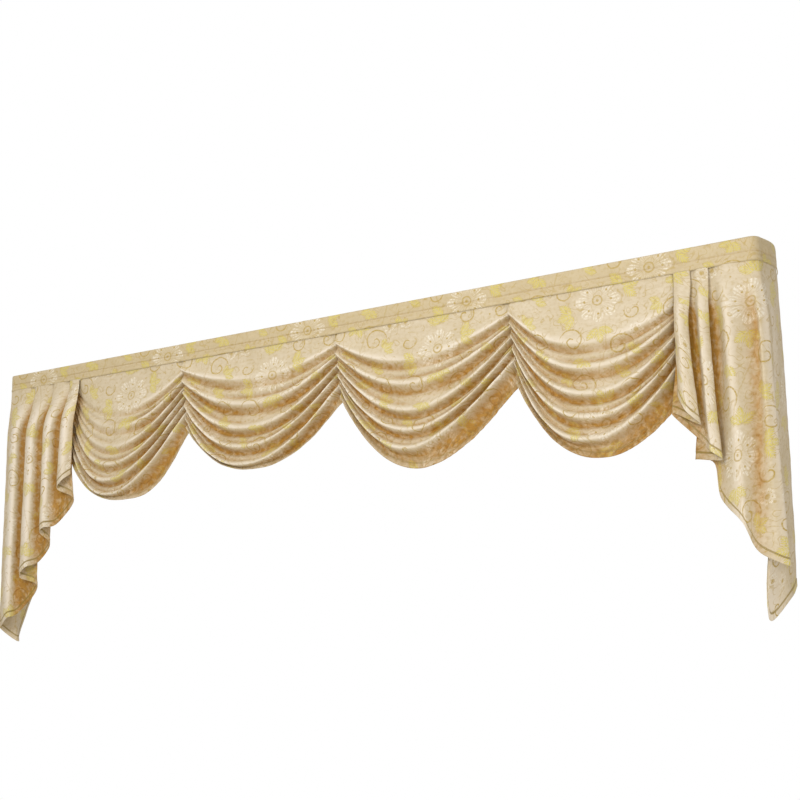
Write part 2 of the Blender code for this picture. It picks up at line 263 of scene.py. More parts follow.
def add_steps(tree: bpy.types.NodeTree, known: dict, steps: tuple[Step, ...]) -> dict:
    """Adds the nodes of a table of steps, each fed by values or by results named before it.

    Args:
        tree: The tree that the nodes go into.
        known: The outputs that the steps may name.
        steps: The table.

    Returns:
        The outputs known before and those of the steps, by name.
    """
    known = dict(known)
    for step in steps:
        settings = step.settings if isinstance(step.settings, dict) else {"operation": step.settings}
        inputs = step.inputs if isinstance(step.inputs, dict) else dict(enumerate(step.inputs))
        feeds = {socket: known[feed] if isinstance(feed, str) else feed for socket, feed in inputs.items()}
        known[step.name] = add_node(tree, step.kind, feeds, **settings).outputs[step.output]
    return known


MATH = "ShaderNodeMath"
SPREAD = "ShaderNodeMapRange"
NOISE = "ShaderNodeTexNoise"
MIX = "ShaderNodeMix"
SMOOTH = {"interpolation_type": "SMOOTHSTEP"}
COLOURS = {"data_type": "RGBA"}


class Cut(NamedTuple):
    """How one cloth was cut and is held, and where on the valance one of its blossoms is seen."""

    width: float
    length: float
    area: float
    held: Held
    blossom_x: float
    blossom_z: float


CUTS = {
    "heading_band": Cut(3.26, 0.068, 0.205, Held.HUNG, 1.13, -0.035),
    "swag_1": Cut(0.95, 0.72, 0.36, Held.DRAPED, -0.83, -0.15),
    "swag_2": Cut(0.95, 0.66, 0.35, Held.DRAPED, -0.20, -0.18),
    "swag_3": Cut(1.00, 0.74, 0.38, Held.DRAPED, 0.43, -0.17),
    "swag_4": Cut(1.00, 0.80, 0.37, Held.DRAPED, 0.97, -0.105),
    "tail_left": Cut(0.85, 0.95, 0.60, Held.GATHERED, -1.29, -0.34),
    "tail_right": Cut(0.72, 1.00, 0.52, Held.GATHERED, 1.37, -0.62),
}


@dataclass(frozen=True)
class Motif:
    """A small drawn figure of the weave, made as a node group with a place and a reach."""

    name: str

    def group(self, outputs: tuple[str, ...]) -> tuple[bpy.types.NodeTree, dict, bpy.types.Node]:
        """Starts the motif's node group.

        Args:
            outputs: The names of the masks that it gives.

        Returns:
            The tree, the polar place about the motif's centre by name, and the output node.
        """
        tree = bpy.data.node_groups.new(self.name, "ShaderNodeTree")
        places = ("Across", "Down", "Centre across", "Centre down", "Reach", "Hand")
        for label in places:
            tree.interface.new_socket(label, in_out="INPUT", socket_type="NodeSocketFloat")
        for label in outputs:
            tree.interface.new_socket(label, in_out="OUTPUT", socket_type="NodeSocketFloat")
        entry = add_node(tree, "NodeGroupInput")
        known = {label: entry.outputs[label] for label in places}
        known = add_steps(tree, known, (
            Step("unturned", MATH, "SUBTRACT", ("Across", "Centre across")),
            Step("x", MATH, "MULTIPLY", ("unturned", "Hand")),
            Step("y", MATH, "SUBTRACT", ("Down", "Centre down")),
            Step("x2", MATH, "MULTIPLY", ("x", "x")),
            Step("y2", MATH, "MULTIPLY", ("y", "y")),
            Step("square", MATH, "ADD", ("x2", "y2")),
            Step("radius", MATH, "SQRT", ("square",)),
            Step("angle", MATH, "ARCTAN2", ("y", "x")),
            Step("turn", MATH, "DIVIDE", ("angle", 2 * math.pi)),
        ))
        return tree, known, add_node(tree, "NodeGroupOutput")


@dataclass(frozen=True)
class Scroll(Motif):
    """A thin spiral tendril that winds in to a hooked end."""

    pitch: float = 0.030
    line: float = 0.0046
    soft: float = 0.0011
    hook: tuple[float, float] = (0.004, 0.006)

    def make(self) -> bpy.types.NodeTree:
        """Makes the node group.

        Returns:
            The group, whose Line output is 1 on the tendril.
        """
        tree, known, exit_node = self.group(("Line",))
        half = self.line / 2
        known = add_steps(tree, known, (
            Step("arms", MATH, "DIVIDE", ("radius", self.pitch)),
            Step("wound", MATH, "SUBTRACT", ("arms", "turn")),
            Step("phase", MATH, "FRACT", ("wound",)),
            Step("off", MATH, "SUBTRACT", ("phase", 0.5)),
            Step("away", MATH, "ABSOLUTE", ("off",)),
            Step("apart", MATH, "MULTIPLY", ("away", self.pitch)),
            Step("arm", SPREAD, SMOOTH, ("apart", half - self.soft, half + self.soft, 1.0, 0.0)),
            Step("room", MATH, "SUBTRACT", ("Reach", "radius")),
            Step("inside", SPREAD, SMOOTH, ("room", -self.soft, self.soft, 0.0, 1.0)),
            Step("clear", SPREAD, SMOOTH, ("radius", *self.hook, 0.0, 1.0)),
            Step("outer", MATH, "MULTIPLY", ("arm", "inside")),
            Step("Line", MATH, "MULTIPLY", ("outer", "clear")),
        ))
        tree.links.new(known["Line"], exit_node.inputs["Line"])
        return tree


@dataclass(frozen=True)
class LeafFan(Motif):
    """A fan of toothed leaves with fine midribs, their stalks together at the motif's centre."""

    breadth: float = 0.34
    teeth: float = 6.0
    spread: float = 0.95
    aside_leaves: float = 1.0
    soft: float = 0.0010
    tooth_root: float = 0.30
    midrib: tuple[float, float] = (0.0006, 0.0018)
    midrib_share: float = 0.35
    gap: tuple[float, float] = (0.18, 0.46)
    gap_share: float = 0.15
    rim: tuple[float, float] = (0.0006, 0.0022)
    rim_share: float = 0.6
    stalk: tuple[float, float] = (0.002, 0.006)

    def make(self) -> bpy.types.NodeTree:
        """Makes the node group.

        Returns:
            The group, whose Fill output is 1 on the leaves and whose Line output is 1 on their
            rims. Its Hand is the way that the middle leaf points, in radians.
        """
        tree, known, exit_node = self.group(("Fill", "Line"))
        known = add_steps(tree, known, (
            Step("pointing", MATH, "ARCTAN2", ("y", "unturned")),
            Step("swung", MATH, "SUBTRACT", ("pointing", "Hand")),
            Step("wrapped", MATH, "WRAP", ("swung", math.pi, -math.pi)),
            Step("steps", MATH, "DIVIDE", ("wrapped", self.spread)),
            Step("nearest", MATH, "ROUND", ("steps",)),
            Step("not over", MATH, "MINIMUM", ("nearest", self.aside_leaves)),
            Step("leaf", MATH, "MAXIMUM", ("not over", -self.aside_leaves)),
            Step("leaf turn", MATH, "MULTIPLY", ("leaf", self.spread)),
            Step("from tip", MATH, "SUBTRACT", ("wrapped", "leaf turn")),
            Step("cosine", MATH, "COSINE", ("from tip",)),
            Step("sine", MATH, "SINE", ("from tip",)),
            Step("flat2", MATH, "MULTIPLY", ("unturned", "unturned")),
            Step("far2", MATH, "ADD", ("flat2", "y2")),
            Step("far", MATH, "SQRT", ("far2",)),
            Step("along", MATH, "MULTIPLY", ("far", "cosine")),
            Step("across", MATH, "MULTIPLY", ("far", "sine")),
            Step("aside", MATH, "ABSOLUTE", ("across",)),
            Step("share", MATH, "DIVIDE", ("along", "Reach")),
            Step("left", MATH, "SUBTRACT", (1.0, "share")),
            Step("bow", MATH, "MULTIPLY", ("share", "left")),
            Step("bowed", MATH, "MULTIPLY", ("bow", 4 * self.breadth)),
            Step("slant", MATH, "DIVIDE", ("aside", "Reach")),
            Step("slanted", MATH, "SUBTRACT", ("share", "slant")),
            Step("notches", MATH, "MULTIPLY", ("slanted", self.teeth)),
            Step("notch", MATH, "FRACT", ("notches",)),
            Step("cut", SPREAD, {}, ("notch", 0.0, 1.0, self.tooth_root, 1.0)),
            Step("toothed", MATH, "MULTIPLY", ("bowed", "cut")),
            Step("half", MATH, "MULTIPLY", ("toothed", "Reach")),
            Step("room", MATH, "SUBTRACT", ("half", "aside")),
            Step("blade", SPREAD, SMOOTH, ("room", -self.soft, self.soft, 0.0, 1.0)),
            Step("rib", SPREAD, SMOOTH, ("aside", *self.midrib, self.midrib_share, 1.0)),
            Step("ribbed", MATH, "MULTIPLY", ("blade", "rib")),
            Step("leaflet", SPREAD, SMOOTH, ("notch", *self.gap, self.gap_share, 1.0)),
            Step("Fill", MATH, "MULTIPLY", ("ribbed", "leaflet")),
            Step("from rim", MATH, "ABSOLUTE", ("room",)),
            Step("rim", SPREAD, SMOOTH, ("from rim", *self.rim, self.rim_share, 0.0)),
            Step("outward", SPREAD, SMOOTH, ("along", *self.stalk, 0.0, 1.0)),
            Step("Line", MATH, "MULTIPLY", ("rim", "outward")),
        ))
        tree.links.new(known["Fill"], exit_node.inputs["Fill"])
        tree.links.new(known["Line"], exit_node.inputs["Line"])
        return tree


@dataclass(frozen=True)
class Blossom(Motif):
    """An open flower of rounded petals in rays, with a dot on each petal and a ringed centre."""

    petals: int = 8
    rays: int = 4
    soft: float = 0.0015
    petal_root: float = 0.55
    parting: tuple[float, float] = (0.18, 0.34)
    lace: tuple[float, float] = (0.20, 0.42)
    lace_share: float = 0.15
    dot_place: float = 0.60
    dot_reach: float = 0.05
    ring_place: float = 0.21
    ring: tuple[float, float] = (0.0012, 0.0034)
    ring_share: float = 0.8
    eye: tuple[float, float] = (0.003, 0.006)
    eye_share: float = 0.9
    tip: tuple[float, float] = (0.30, 0.85)
    heart_share: float = 0.25

    def make(self) -> bpy.types.NodeTree:
        """Makes the node group.

        Returns:
            The group, with a Petal mask and a Line mask for the dots and the centre.
        """
        tree, known, exit_node = self.group(("Petal", "Line"))
        known = add_steps(tree, known, (
            Step("swing", MATH, "MULTIPLY", ("angle", self.petals / 2)),
            Step("wave", MATH, "COSINE", ("swing",)),
            Step("full", MATH, "ABSOLUTE", ("wave",)),
            Step("swell", MATH, "SQRT", ("full",)),
            Step("share", SPREAD, {}, ("swell", 0.0, 1.0, self.petal_root, 1.0)),
            Step("edge", MATH, "MULTIPLY", ("share", "Reach")),
            Step("room", MATH, "SUBTRACT", ("edge", "radius")),
            Step("inside", SPREAD, SMOOTH, ("room", -self.soft, self.soft, 0.0, 1.0)),
            Step("parted", SPREAD, SMOOTH, ("full", *self.parting, 0.0, 1.0)),
            Step("whole", MATH, "MULTIPLY", ("inside", "parted")),
            Step("rays", MATH, "MULTIPLY", ("turn", self.petals * self.rays)),
            Step("ray", MATH, "FRACT", ("rays",)),
            Step("ray middle", MATH, "SUBTRACT", ("ray", 0.5)),
            Step("ray off", MATH, "ABSOLUTE", ("ray middle",)),
            Step("lace", SPREAD, SMOOTH, ("ray off", *self.lace, 1.0, self.lace_share)),
            Step("petal", MATH, "MULTIPLY", ("whole", "lace")),
            Step("lean", MATH, "ARCCOSINE", ("full",)),
            Step("aside", MATH, "MULTIPLY", ("lean", 2 / self.petals)),
            Step("across", MATH, "MULTIPLY", ("aside", "radius")),
            Step("dot place", MATH, "MULTIPLY", ("Reach", self.dot_place)),
            Step("along", MATH, "SUBTRACT", ("radius", "dot place")),
            Step("across2", MATH, "MULTIPLY", ("across", "across")),
            Step("along2", MATH, "MULTIPLY", ("along", "along")),
            Step("both", MATH, "ADD", ("across2", "along2")),
            Step("apart", MATH, "SQRT", ("both",)),
            Step("dot reach", MATH, "MULTIPLY", ("Reach", self.dot_reach)),
            Step("dot room", MATH, "SUBTRACT", ("dot reach", "apart")),
            Step("dot", SPREAD, SMOOTH, ("dot room", -self.soft, self.soft, 0.0, 1.0)),
            Step("ring place", MATH, "MULTIPLY", ("Reach", self.ring_place)),
            Step("from ring", MATH, "SUBTRACT", ("radius", "ring place")),
            Step("ring off", MATH, "ABSOLUTE", ("from ring",)),
            Step("ring", SPREAD, SMOOTH, ("ring off", *self.ring, self.ring_share, 0.0)),
            Step("eye", SPREAD, SMOOTH, ("radius", *self.eye, self.eye_share, 0.0)),
            Step("ring eye", MATH, "MAXIMUM", ("ring", "eye")),
            Step("Line", MATH, "MAXIMUM", ("dot", "ring eye")),
            Step("outward", MATH, "DIVIDE", ("radius", "Reach")),
            Step("tip", SPREAD, SMOOTH, ("outward", *self.tip, self.heart_share, 1.0)),
            Step("tipped", MATH, "MULTIPLY", ("petal", "tip")),
            Step("shown", MATH, "SUBTRACT", ("tipped", "Line")),
            Step("Petal", MATH, "MAXIMUM", ("shown", 0.0)),
        ))
        tree.links.new(known["Line"], exit_node.inputs["Line"])
        tree.links.new(known["Petal"], exit_node.inputs["Petal"])
        return tree


class Figure(NamedTuple):
    """One figure of the woven repeat: which motif, its centre, its reach and its hand."""

    motif: str
    across: float
    down: float
    reach: float
    hand: float


REPEAT_FIGURES = (
    Figure("blossom", 0.000, 0.000, 0.070, 1.0),
    Figure("blossom", 0.118, 0.112, 0.024, 1.0),
    Figure("blossom", -0.122, -0.112, 0.022, 1.0),
    Figure("scroll", 0.064, 0.158, 0.044, 1.0),
    Figure("scroll", -0.084, 0.120, 0.042, -1.0),
    Figure("scroll", -0.062, -0.156, 0.046, 1.0),
    Figure("scroll", 0.094, -0.100, 0.040, -1.0),
    Figure("scroll", 0.110, 0.048, 0.030, 1.0),
    Figure("scroll", -0.112, -0.040, 0.030, -1.0),
    Figure("leaves", 0.000, 0.088, 0.052, 1.4),
    Figure("leaves", 0.004, -0.086, 0.052, -1.8),
    Figure("leaves", 0.082, -0.030, 0.054, -0.2),
    Figure("leaves", -0.082, 0.034, 0.054, 2.9),
    Figure("leaves", 0.098, 0.192, 0.042, -0.6),
    Figure("leaves", -0.104, -0.184, 0.040, 2.6),
    Figure("leaves", -0.050, 0.190, 0.042, 2.0),
    Figure("leaves", 0.054, -0.170, 0.044, -0.7),
)


@dataclass(frozen=True)
class WovenRepeat:
    """The cloth's repeat of blossoms, scrolls and a leafy stem, half dropped from row to row."""

    width: float = 0.30
    drop: float = 0.44
    stem_sway: float = 0.024
    stem_line: float = 0.0042
    stem_share: float = 0.40
    dot_density: float = 24.0
    stem_soft: float = 0.001
    stem_gap: tuple[float, float] = (0.074, 0.080)
    dot: tuple[float, float] = (0.045, 0.085)
    dot_share: float = 0.9
    curl_scale: float = 30.0
    curl_gap_scale: float = 24.0
    curl_bands: float = 4.0
    curl_line: tuple[float, float] = (0.04, 0.12)
    curl_gap: tuple[float, float] = (0.46, 0.54)
    curl_share: float = 0.55

    def repeated(self, tree: bpy.types.NodeTree, known: dict) -> dict:
        """Finds the place within the repeat, where every second column is half dropped.

        Args:
            tree: The group.
            known: The places across and down the cloth.

        Returns:
            What is known, with the place in the repeat as "u" and "v".
        """
        return add_steps(tree, known, (
            Step("columns", MATH, "DIVIDE", ("Across", self.width)),
            Step("column", MATH, "ROUND", ("columns",)),
            Step("column at", MATH, "MULTIPLY", ("column", self.width)),
            Step("u", MATH, "SUBTRACT", ("Across", "column at")),
            Step("odd", MATH, "FLOORED_MODULO", ("column", 2.0)),
            Step("dropped", MATH, "MULTIPLY", ("odd", self.drop / 2)),
            Step("down", MATH, "ADD", ("Down", "dropped")),
            Step("rows", MATH, "DIVIDE", ("down", self.drop)),
            Step("row", MATH, "ROUND", ("rows",)),
            Step("row at", MATH, "MULTIPLY", ("row", self.drop)),
            Step("v", MATH, "SUBTRACT", ("down", "row at")),
        ))

    def stemmed(self, tree: bpy.types.NodeTree, known: dict) -> dict:
        """Draws the swaying stem, which stops short of the large blossoms.

        Args:
            tree: The group.
            known: What repeated gives.

        Returns:
            What is known, with the stem as "open stem".
        """
        half = self.stem_line / 2
        return add_steps(tree, known, (
            Step("sway turn", MATH, "MULTIPLY", ("v", 2 * math.pi / self.drop)),
            Step("sway", MATH, "SINE", ("sway turn",)),
            Step("swayed", MATH, "MULTIPLY", ("sway", self.stem_sway)),
            Step("from stem", MATH, "SUBTRACT", ("u", "swayed")),
            Step("stem off", MATH, "ABSOLUTE", ("from stem",)),
            Step("stem", SPREAD, SMOOTH, (
                "stem off", half - self.stem_soft, half + self.stem_soft, self.stem_share, 0.0,
            )),
            Step("v off", MATH, "ABSOLUTE", ("v",)),
            Step("between", SPREAD, SMOOTH, ("v off", *self.stem_gap, 0.0, 1.0)),
            Step("open stem", MATH, "MULTIPLY", ("stem", "between")),
        ))

    def strewn(self, tree: bpy.types.NodeTree, known: dict) -> dict:
        """Strews dots and short curls over the ground.

        Args:
            tree: The group.
            known: What stemmed gives.

        Returns:
            What is known, with the stem, the dots and the curls together as "line".
        """
        return add_steps(tree, known, (
            Step("flat", "ShaderNodeCombineXYZ", {}, ("Across", "Down")),
            Step("cells", "ShaderNodeTexVoronoi", {}, {
                "Vector": "flat", "Scale": self.dot_density,
            }, "Distance"),
            Step("dots", SPREAD, SMOOTH, ("cells", *self.dot, self.dot_share, 0.0)),
            Step("hills", NOISE, {}, {"Vector": "flat", "Scale": self.curl_scale, "Detail": 0.0}),
            Step("gaps", NOISE, {}, {"Vector": "flat", "Scale": self.curl_gap_scale, "Detail": 1.0}),
            Step("bands", MATH, "MULTIPLY", ("hills", self.curl_bands)),
            Step("band", MATH, "FRACT", ("bands",)),
            Step("off", MATH, "SUBTRACT", ("band", 0.5)),
            Step("away", MATH, "ABSOLUTE", ("off",)),
            Step("fine", SPREAD, SMOOTH, ("away", *self.curl_line, 1.0, 0.0)),
            Step("shown", SPREAD, SMOOTH, ("gaps", *self.curl_gap, 0.0, self.curl_share)),
            Step("curls", MATH, "MULTIPLY", ("fine", "shown")),
            Step("dotted stem", MATH, "MAXIMUM", ("open stem", "dots")),
            Step("line", MATH, "MAXIMUM", ("dotted stem", "curls")),
        ))

    def make(self) -> bpy.types.NodeTree:
        """Makes the node group that draws the repeat.

        Returns:
            The group: places across and down in; Petal, Fill and Line masks out.
        """
        motifs = {
            "scroll": Scroll("Scroll tendril").make(),
            "blossom": Blossom("Open blossom").make(),
            "leaves": LeafFan("Fan of toothed leaves").make(),
        }
        tree = bpy.data.node_groups.new("Woven repeat", "ShaderNodeTree")
        for label in ("Across", "Down"):
            tree.interface.new_socket(label, in_out="INPUT", socket_type="NodeSocketFloat")
        for label in ("Petal", "Fill", "Line"):
            tree.interface.new_socket(label, in_out="OUTPUT", socket_type="NodeSocketFloat")
        entry = add_node(tree, "NodeGroupInput")
        known = {label: entry.outputs[label] for label in ("Across", "Down")}
        known = self.strewn(tree, self.stemmed(tree, self.repeated(tree, known)))
        masks = {"Petal": 0.0, "Fill": 0.0, "Line": known["line"]}
        for figure in REPEAT_FIGURES:
            feeds = {
                "Across": known["u"],
                "Down": known["v"],
                "Centre across": figure.across,
                "Centre down": figure.down,
                "Reach": figure.reach,
                "Hand": figure.hand,
            }
            drawn = add_node(tree, "ShaderNodeGroup", feeds, node_tree=motifs[figure.motif])
            for output in drawn.outputs:
                both = {0: masks[output.name], 1: output}
                masks[output.name] = add_node(tree, MATH, both, operation="MAXIMUM").outputs[0]
        add_node(tree, "NodeGroupOutput", masks)
        return tree


@dataclass(frozen=True)
class FiguredSatin:
    """Polyester jacquard in a satin weave: a soft sheen, with matt raised figures in gold and white.

    The satin ground gives broad soft lights along the folds, and their crests get a painted
    highlight. The figures are floated threads, which stand a little proud of it. Cloth deep in a
    fold gets painted shade, warmer and darker, because light reaches it only by way of the cloth round it.
    """

    ground: str = "#c9bb9d"
    pale_ground: str = "#d8cdb8"
    leaf: str = "#d4c864"
    line: str = "#b49a4a"
    # Painted highlight: this colour is mixed in on the folds' crests.
    crest: str = "#f3ece2"
    petal: str = "#ebe6da"
    # Painted shade: this colour is multiplied in deep in the folds, for the shade there.
    fold: str = "#d4a84c"
    # Painted shadow: the dark colour of the puckers' shadows along a shaded hem.
    pucker_shadow: str = "#94733a"
    # The hem's line: the stitching, darkened by painted shadow at the hem's edge.
    hem_line: str = "#8b742a"
    sheen_tint: str = "#fff3dc"
    roughness: float = 0.50
    sheen: float = 0.3
    sheen_roughness: float = 0.4
    thread_spacing: float = 0.0011
    drift_scale: float = 55.0
    drift_reach: float = 0.0055
    slub_scales: tuple[float, float, float] = (34.0, 90.0, 1.0)
    mottle_scale: float = 9.0
    tone: tuple[float, float] = (0.65, 1.35)
    speckle_scale: float = 95.0
    speckle_edge: tuple[float, float] = (0.50, 0.68)
    speckle: float = 0.22
    # How much the woven speckle is strengthened where the painted shade lies.
    fold_speckle: float = 2.6
    speckle_depth: tuple[float, float] = (-0.1, 0.4)
    crest_depth: float = -0.4
    crest_share: float = 0.85
    wear_scale: float = 150.0
    thread_wear: tuple[float, float, float, float] = (0.34, 0.60, 0.50, 1.0)
    petal_wear: tuple[float, float, float, float] = (0.40, 0.58, 0.25, 0.85)
    shade_mottle_scale: float = 48.0
    shade_mottle_edge: tuple[float, float] = (0.34, 0.66)
    shade_mottle: float = 0.32
    painted_shade_power: float = 1.25
    pucker_shadow_scale: float = 70.0
    pucker_shadow_edge: tuple[float, float] = (0.50, 0.60)
    pucker_shadow_reach: tuple[float, float] = (0.050, 0.065)
    pucker_shadow_share: float = 0.60
    seam_half: tuple[float, float] = (0.0015, 0.0042)
    figure_height: float = 1.6
    slub_height: float = 0.3
    relief: float = 0.00035
    relief_strength: float = 0.4

    def place(self, tree: bpy.types.NodeTree, across: float, down: float) -> dict:
        """Places the repeat on the cloth, a little off true, as on cloth that has been handled.

        Args:
            tree: The material's tree.
            across: Where on the piece a blossom's centre is, across, in metres.
            down: Where it is down the piece, in metres.

        Returns:
            The cloth's places, the repeat's places and the two measures of the cloth, by name.
        """
        return add_steps(tree, {}, (
            Step("cloth", "ShaderNodeUVMap", {"uv_map": "Cloth"}, (), "UV"),
            # The painted shade of each point, from 0 to 1, and below 0 its painted highlight.
            Step("depth", "ShaderNodeAttribute", {"attribute_name": "painted_fold_shade"}, (), "Fac"),
            Step("hem", "ShaderNodeAttribute", {"attribute_name": "hem_distance"}, (), "Fac"),
            Step("wander", NOISE, {}, {
                "Vector": "cloth", "Scale": self.drift_scale, "Detail": 2.0,
            }, "Color"),
            Step("centred", "ShaderNodeVectorMath", "SUBTRACT", {0: "wander", 1: (0.5, 0.5, 0.5)}),
            Step("drift", "ShaderNodeVectorMath", "SCALE", {0: "centred", "Scale": self.drift_reach}),
            Step("drifted", "ShaderNodeVectorMath", "ADD", ("cloth", "drift")),
            Step("placed", "ShaderNodeMapping", {}, {
                "Vector": "drifted", "Location": (-across, -down, 0.0),
            }),
            Step("Across", "ShaderNodeSeparateXYZ", {}, ("placed",), "X"),
            Step("Down", "ShaderNodeSeparateXYZ", {}, ("placed",), "Y"),
        ))

    def weave(self, tree: bpy.types.NodeTree, known: dict) -> dict:
        """Colours the ground and the figures, and paints a highlight on the crests, with threads worn
        through in places.

        Args:
            tree: The material's tree.
            known: What place gives, and the repeat's Petal, Fill and Line masks.

        Returns:
            What is known, with the woven colour, the slubs and the masks of gold and white.
        """
        return add_steps(tree, known, (
            Step("streaked", "ShaderNodeMapping", {}, {"Vector": "cloth", "Scale": self.slub_scales}),
            Step("slubs", NOISE, {}, {"Vector": "streaked", "Scale": 1.0, "Detail": 3.0}),
            Step("mottle", NOISE, {}, {"Vector": "cloth", "Scale": self.mottle_scale, "Detail": 3.0}),
            Step("both", MATH, "ADD", ("slubs", "mottle")),
            Step("tone", SPREAD, {}, ("both", *self.tone)),
            Step("toned", MIX, COLOURS, {
                "Factor": "tone", 6: linear(self.ground), 7: linear(self.pale_ground),
            }, 2),
            Step("grains", NOISE, {}, {"Vector": "cloth", "Scale": self.speckle_scale, "Detail": 3.0}),
            Step("speckle", SPREAD, {}, ("grains", *self.speckle_edge, 0.0, self.speckle)),
            # The speckle is woven, and is strengthened deep in the folds as part of the painted shade.
            Step("shade speckle", SPREAD, {}, ("depth", *self.speckle_depth, 1.0, self.fold_speckle)),
            Step("shade speckled", MATH, "MULTIPLY", ("speckle", "shade speckle")),
            Step("speckled", MIX, COLOURS, {"Factor": "shade speckled", 6: "toned", 7: linear(self.line)}, 2),
            # Painted highlight: crests, below 0, are mixed towards the pale crest colour.
            Step("pale", SPREAD, {}, ("depth", self.crest_depth, 0.0, self.crest_share, 0.0)),
            Step("highlighted", MIX, COLOURS, {"Factor": "pale", 6: "speckled", 7: linear(self.crest)}, 2),
            Step("broken", NOISE, {}, {"Vector": "cloth", "Scale": self.wear_scale, "Detail": 1.0}),
            Step("worn", SPREAD, {}, ("broken", *self.thread_wear)),
            Step("ragged", SPREAD, {}, ("broken", *self.petal_wear)),
            Step("gold", MATH, "MULTIPLY", ("Fill", "worn")),
            Step("outline", MATH, "MULTIPLY", ("Line", "worn")),
            Step("white", MATH, "MULTIPLY", ("Petal", "ragged")),
            Step("petalled", MIX, COLOURS, {"Factor": "white", 6: "highlighted", 7: linear(self.petal)}, 2),
            Step("leafed", MIX, COLOURS, {"Factor": "gold", 6: "petalled", 7: linear(self.leaf)}, 2),
            Step("woven", MIX, COLOURS, {"Factor": "outline", 6: "leafed", 7: linear(self.line)}, 2),
        ))

    def shade(self, tree: bpy.types.NodeTree, known: dict, hem_share: float) -> dict:
        """Paints shade into the folds, paints the puckers' shadows as dark spots on a shaded hem, and draws
        the dark line above the hem, part stitching and part painted shadow.

        Args:
            tree: The material's tree.
            known: What weave gives.
            hem_share: How strongly the line above the hem shows, from 0 to 1.

        Returns:
            What is known, with the finished colour as "hemmed".
        """
        spotty = {"operation": "MULTIPLY", "use_clamp": True}
        return add_steps(tree, known, (
            # Painted shade: the folds' shade, mottled, is multiplied in as a warm darker colour.
            Step("clouds", NOISE, {}, {"Vector": "cloth", "Scale": self.shade_mottle_scale, "Detail": 3.0}),
            Step("shade_mottle", SPREAD, {}, ("clouds", *self.shade_mottle_edge, -self.shade_mottle, self.shade_mottle)),
            Step("uneven", MATH, "MULTIPLY", ("depth", "shade_mottle")),
            Step("shade_mottled", MATH, "ADD", ("depth", "uneven")),
            Step("shaded", MATH, "MAXIMUM", ("shade_mottled", 0.0)),
            Step("warm", MATH, {"operation": "POWER", "use_clamp": True}, ("shaded", self.painted_shade_power)),
            Step("shade painted", MIX, {**COLOURS, "blend_type": "MULTIPLY"}, {
                "Factor": "warm", 6: "woven", 7: linear(self.fold),
            }, 2),
            # Painted shadow: dark spots near the hem, only where the cloth has painted shade, stand for the
            # puckers' shadows.
            Step("near hem", SPREAD, {}, ("hem", *self.pucker_shadow_reach, self.pucker_shadow_share, 0.0)),
            Step("specks", NOISE, {}, {"Vector": "cloth", "Scale": self.pucker_shadow_scale, "Detail": 1.0}),
            Step("spots", SPREAD, {}, ("specks", *self.pucker_shadow_edge)),
            Step("hem spots", MATH, "MULTIPLY", ("spots", "near hem")),
            Step("dark spots", MATH, spotty, ("hem spots", "shaded")),
            Step("spotted", MIX, COLOURS, {"Factor": "dark spots", 6: "shade painted", 7: linear(self.pucker_shadow)}, 2),
            # The dark line above the hem is part stitching and part painted shadow.
            Step("past seam", MATH, "SUBTRACT", ("hem", HEM_DEPTH)),
            Step("from seam", MATH, "ABSOLUTE", ("past seam",)),
            Step("seam", SPREAD, {}, ("from seam", *self.seam_half, hem_share, 0.0)),
            Step("hemmed", MIX, COLOURS, {"Factor": "seam", 6: "spotted", 7: linear(self.hem_line)}, 2),
        ))

    def raise_threads(self, tree: bpy.types.NodeTree, known: dict) -> bpy.types.NodeSocket:
        """Raises the threads, the slubs and the figures.

        Args:
            tree: The material's tree.
            known: What weave gives.

        Returns:
            The bumped normal.
        """
        # The real threads, about 0.3 mm apart, are too fine to show, so the bump draws them 1.1 mm apart.
        # A wave texture of scale 1 has its bands pi / 10 apart.
        bands = {"Vector": "cloth", "Scale": math.pi / 10 / self.thread_spacing}
        return add_steps(tree, known, (
            Step("warp", "ShaderNodeTexWave", {"bands_direction": "X"}, bands, "Fac"),
            Step("weft", "ShaderNodeTexWave", {"bands_direction": "Y"}, bands, "Fac"),
            Step("threads", MATH, "MULTIPLY", ("warp", "weft")),
            Step("figures", MATH, "ADD", ("white", "gold")),
            Step("figured", MATH, "MULTIPLY_ADD", ("figures", self.figure_height, "threads")),
            Step("height", MATH, "MULTIPLY_ADD", ("slubs", self.slub_height, "figured")),
            Step("raised", "ShaderNodeBump", {}, {
                "Strength": self.relief_strength, "Distance": self.relief, "Height": "height",
            }),
        ))["raised"]

    def make(
        self, name: str, repeat: bpy.types.NodeTree, across: float, down: float, hem_share: float
    ) -> bpy.types.Material:
        """Makes the satin for one piece.

        Args:
            name: The material's name.
            repeat: The group that draws the woven repeat.
            across: Where on the piece a blossom's centre is, across, in metres.
            down: Where it is down the piece, in metres.
            hem_share: How strongly the line above the hem shows, from 0 to 1.

        Returns:
            The material.
        """
        material = bpy.data.materials.new(name)
        material.use_nodes = True
        tree = material.node_tree
        shader = tree.nodes["Principled BSDF"]
        shader.inputs["Roughness"].default_value = self.roughness
        shader.inputs["Sheen Weight"].default_value = self.sheen
        shader.inputs["Sheen Roughness"].default_value = self.sheen_roughness
        shader.inputs["Sheen Tint"].default_value = linear(self.sheen_tint)
        known = self.place(tree, across, down)
        places = {label: known[label] for label in ("Across", "Down")}
        drawn = add_node(tree, "ShaderNodeGroup", places, node_tree=repeat)
        known |= {mask.name: mask for mask in drawn.outputs}
        known = self.shade(tree, self.weave(tree, known), hem_share)
        tree.links.new(known["hemmed"], shader.inputs["Base Color"])
        tree.links.new(self.raise_threads(tree, known), shader.inputs["Normal"])
        return material


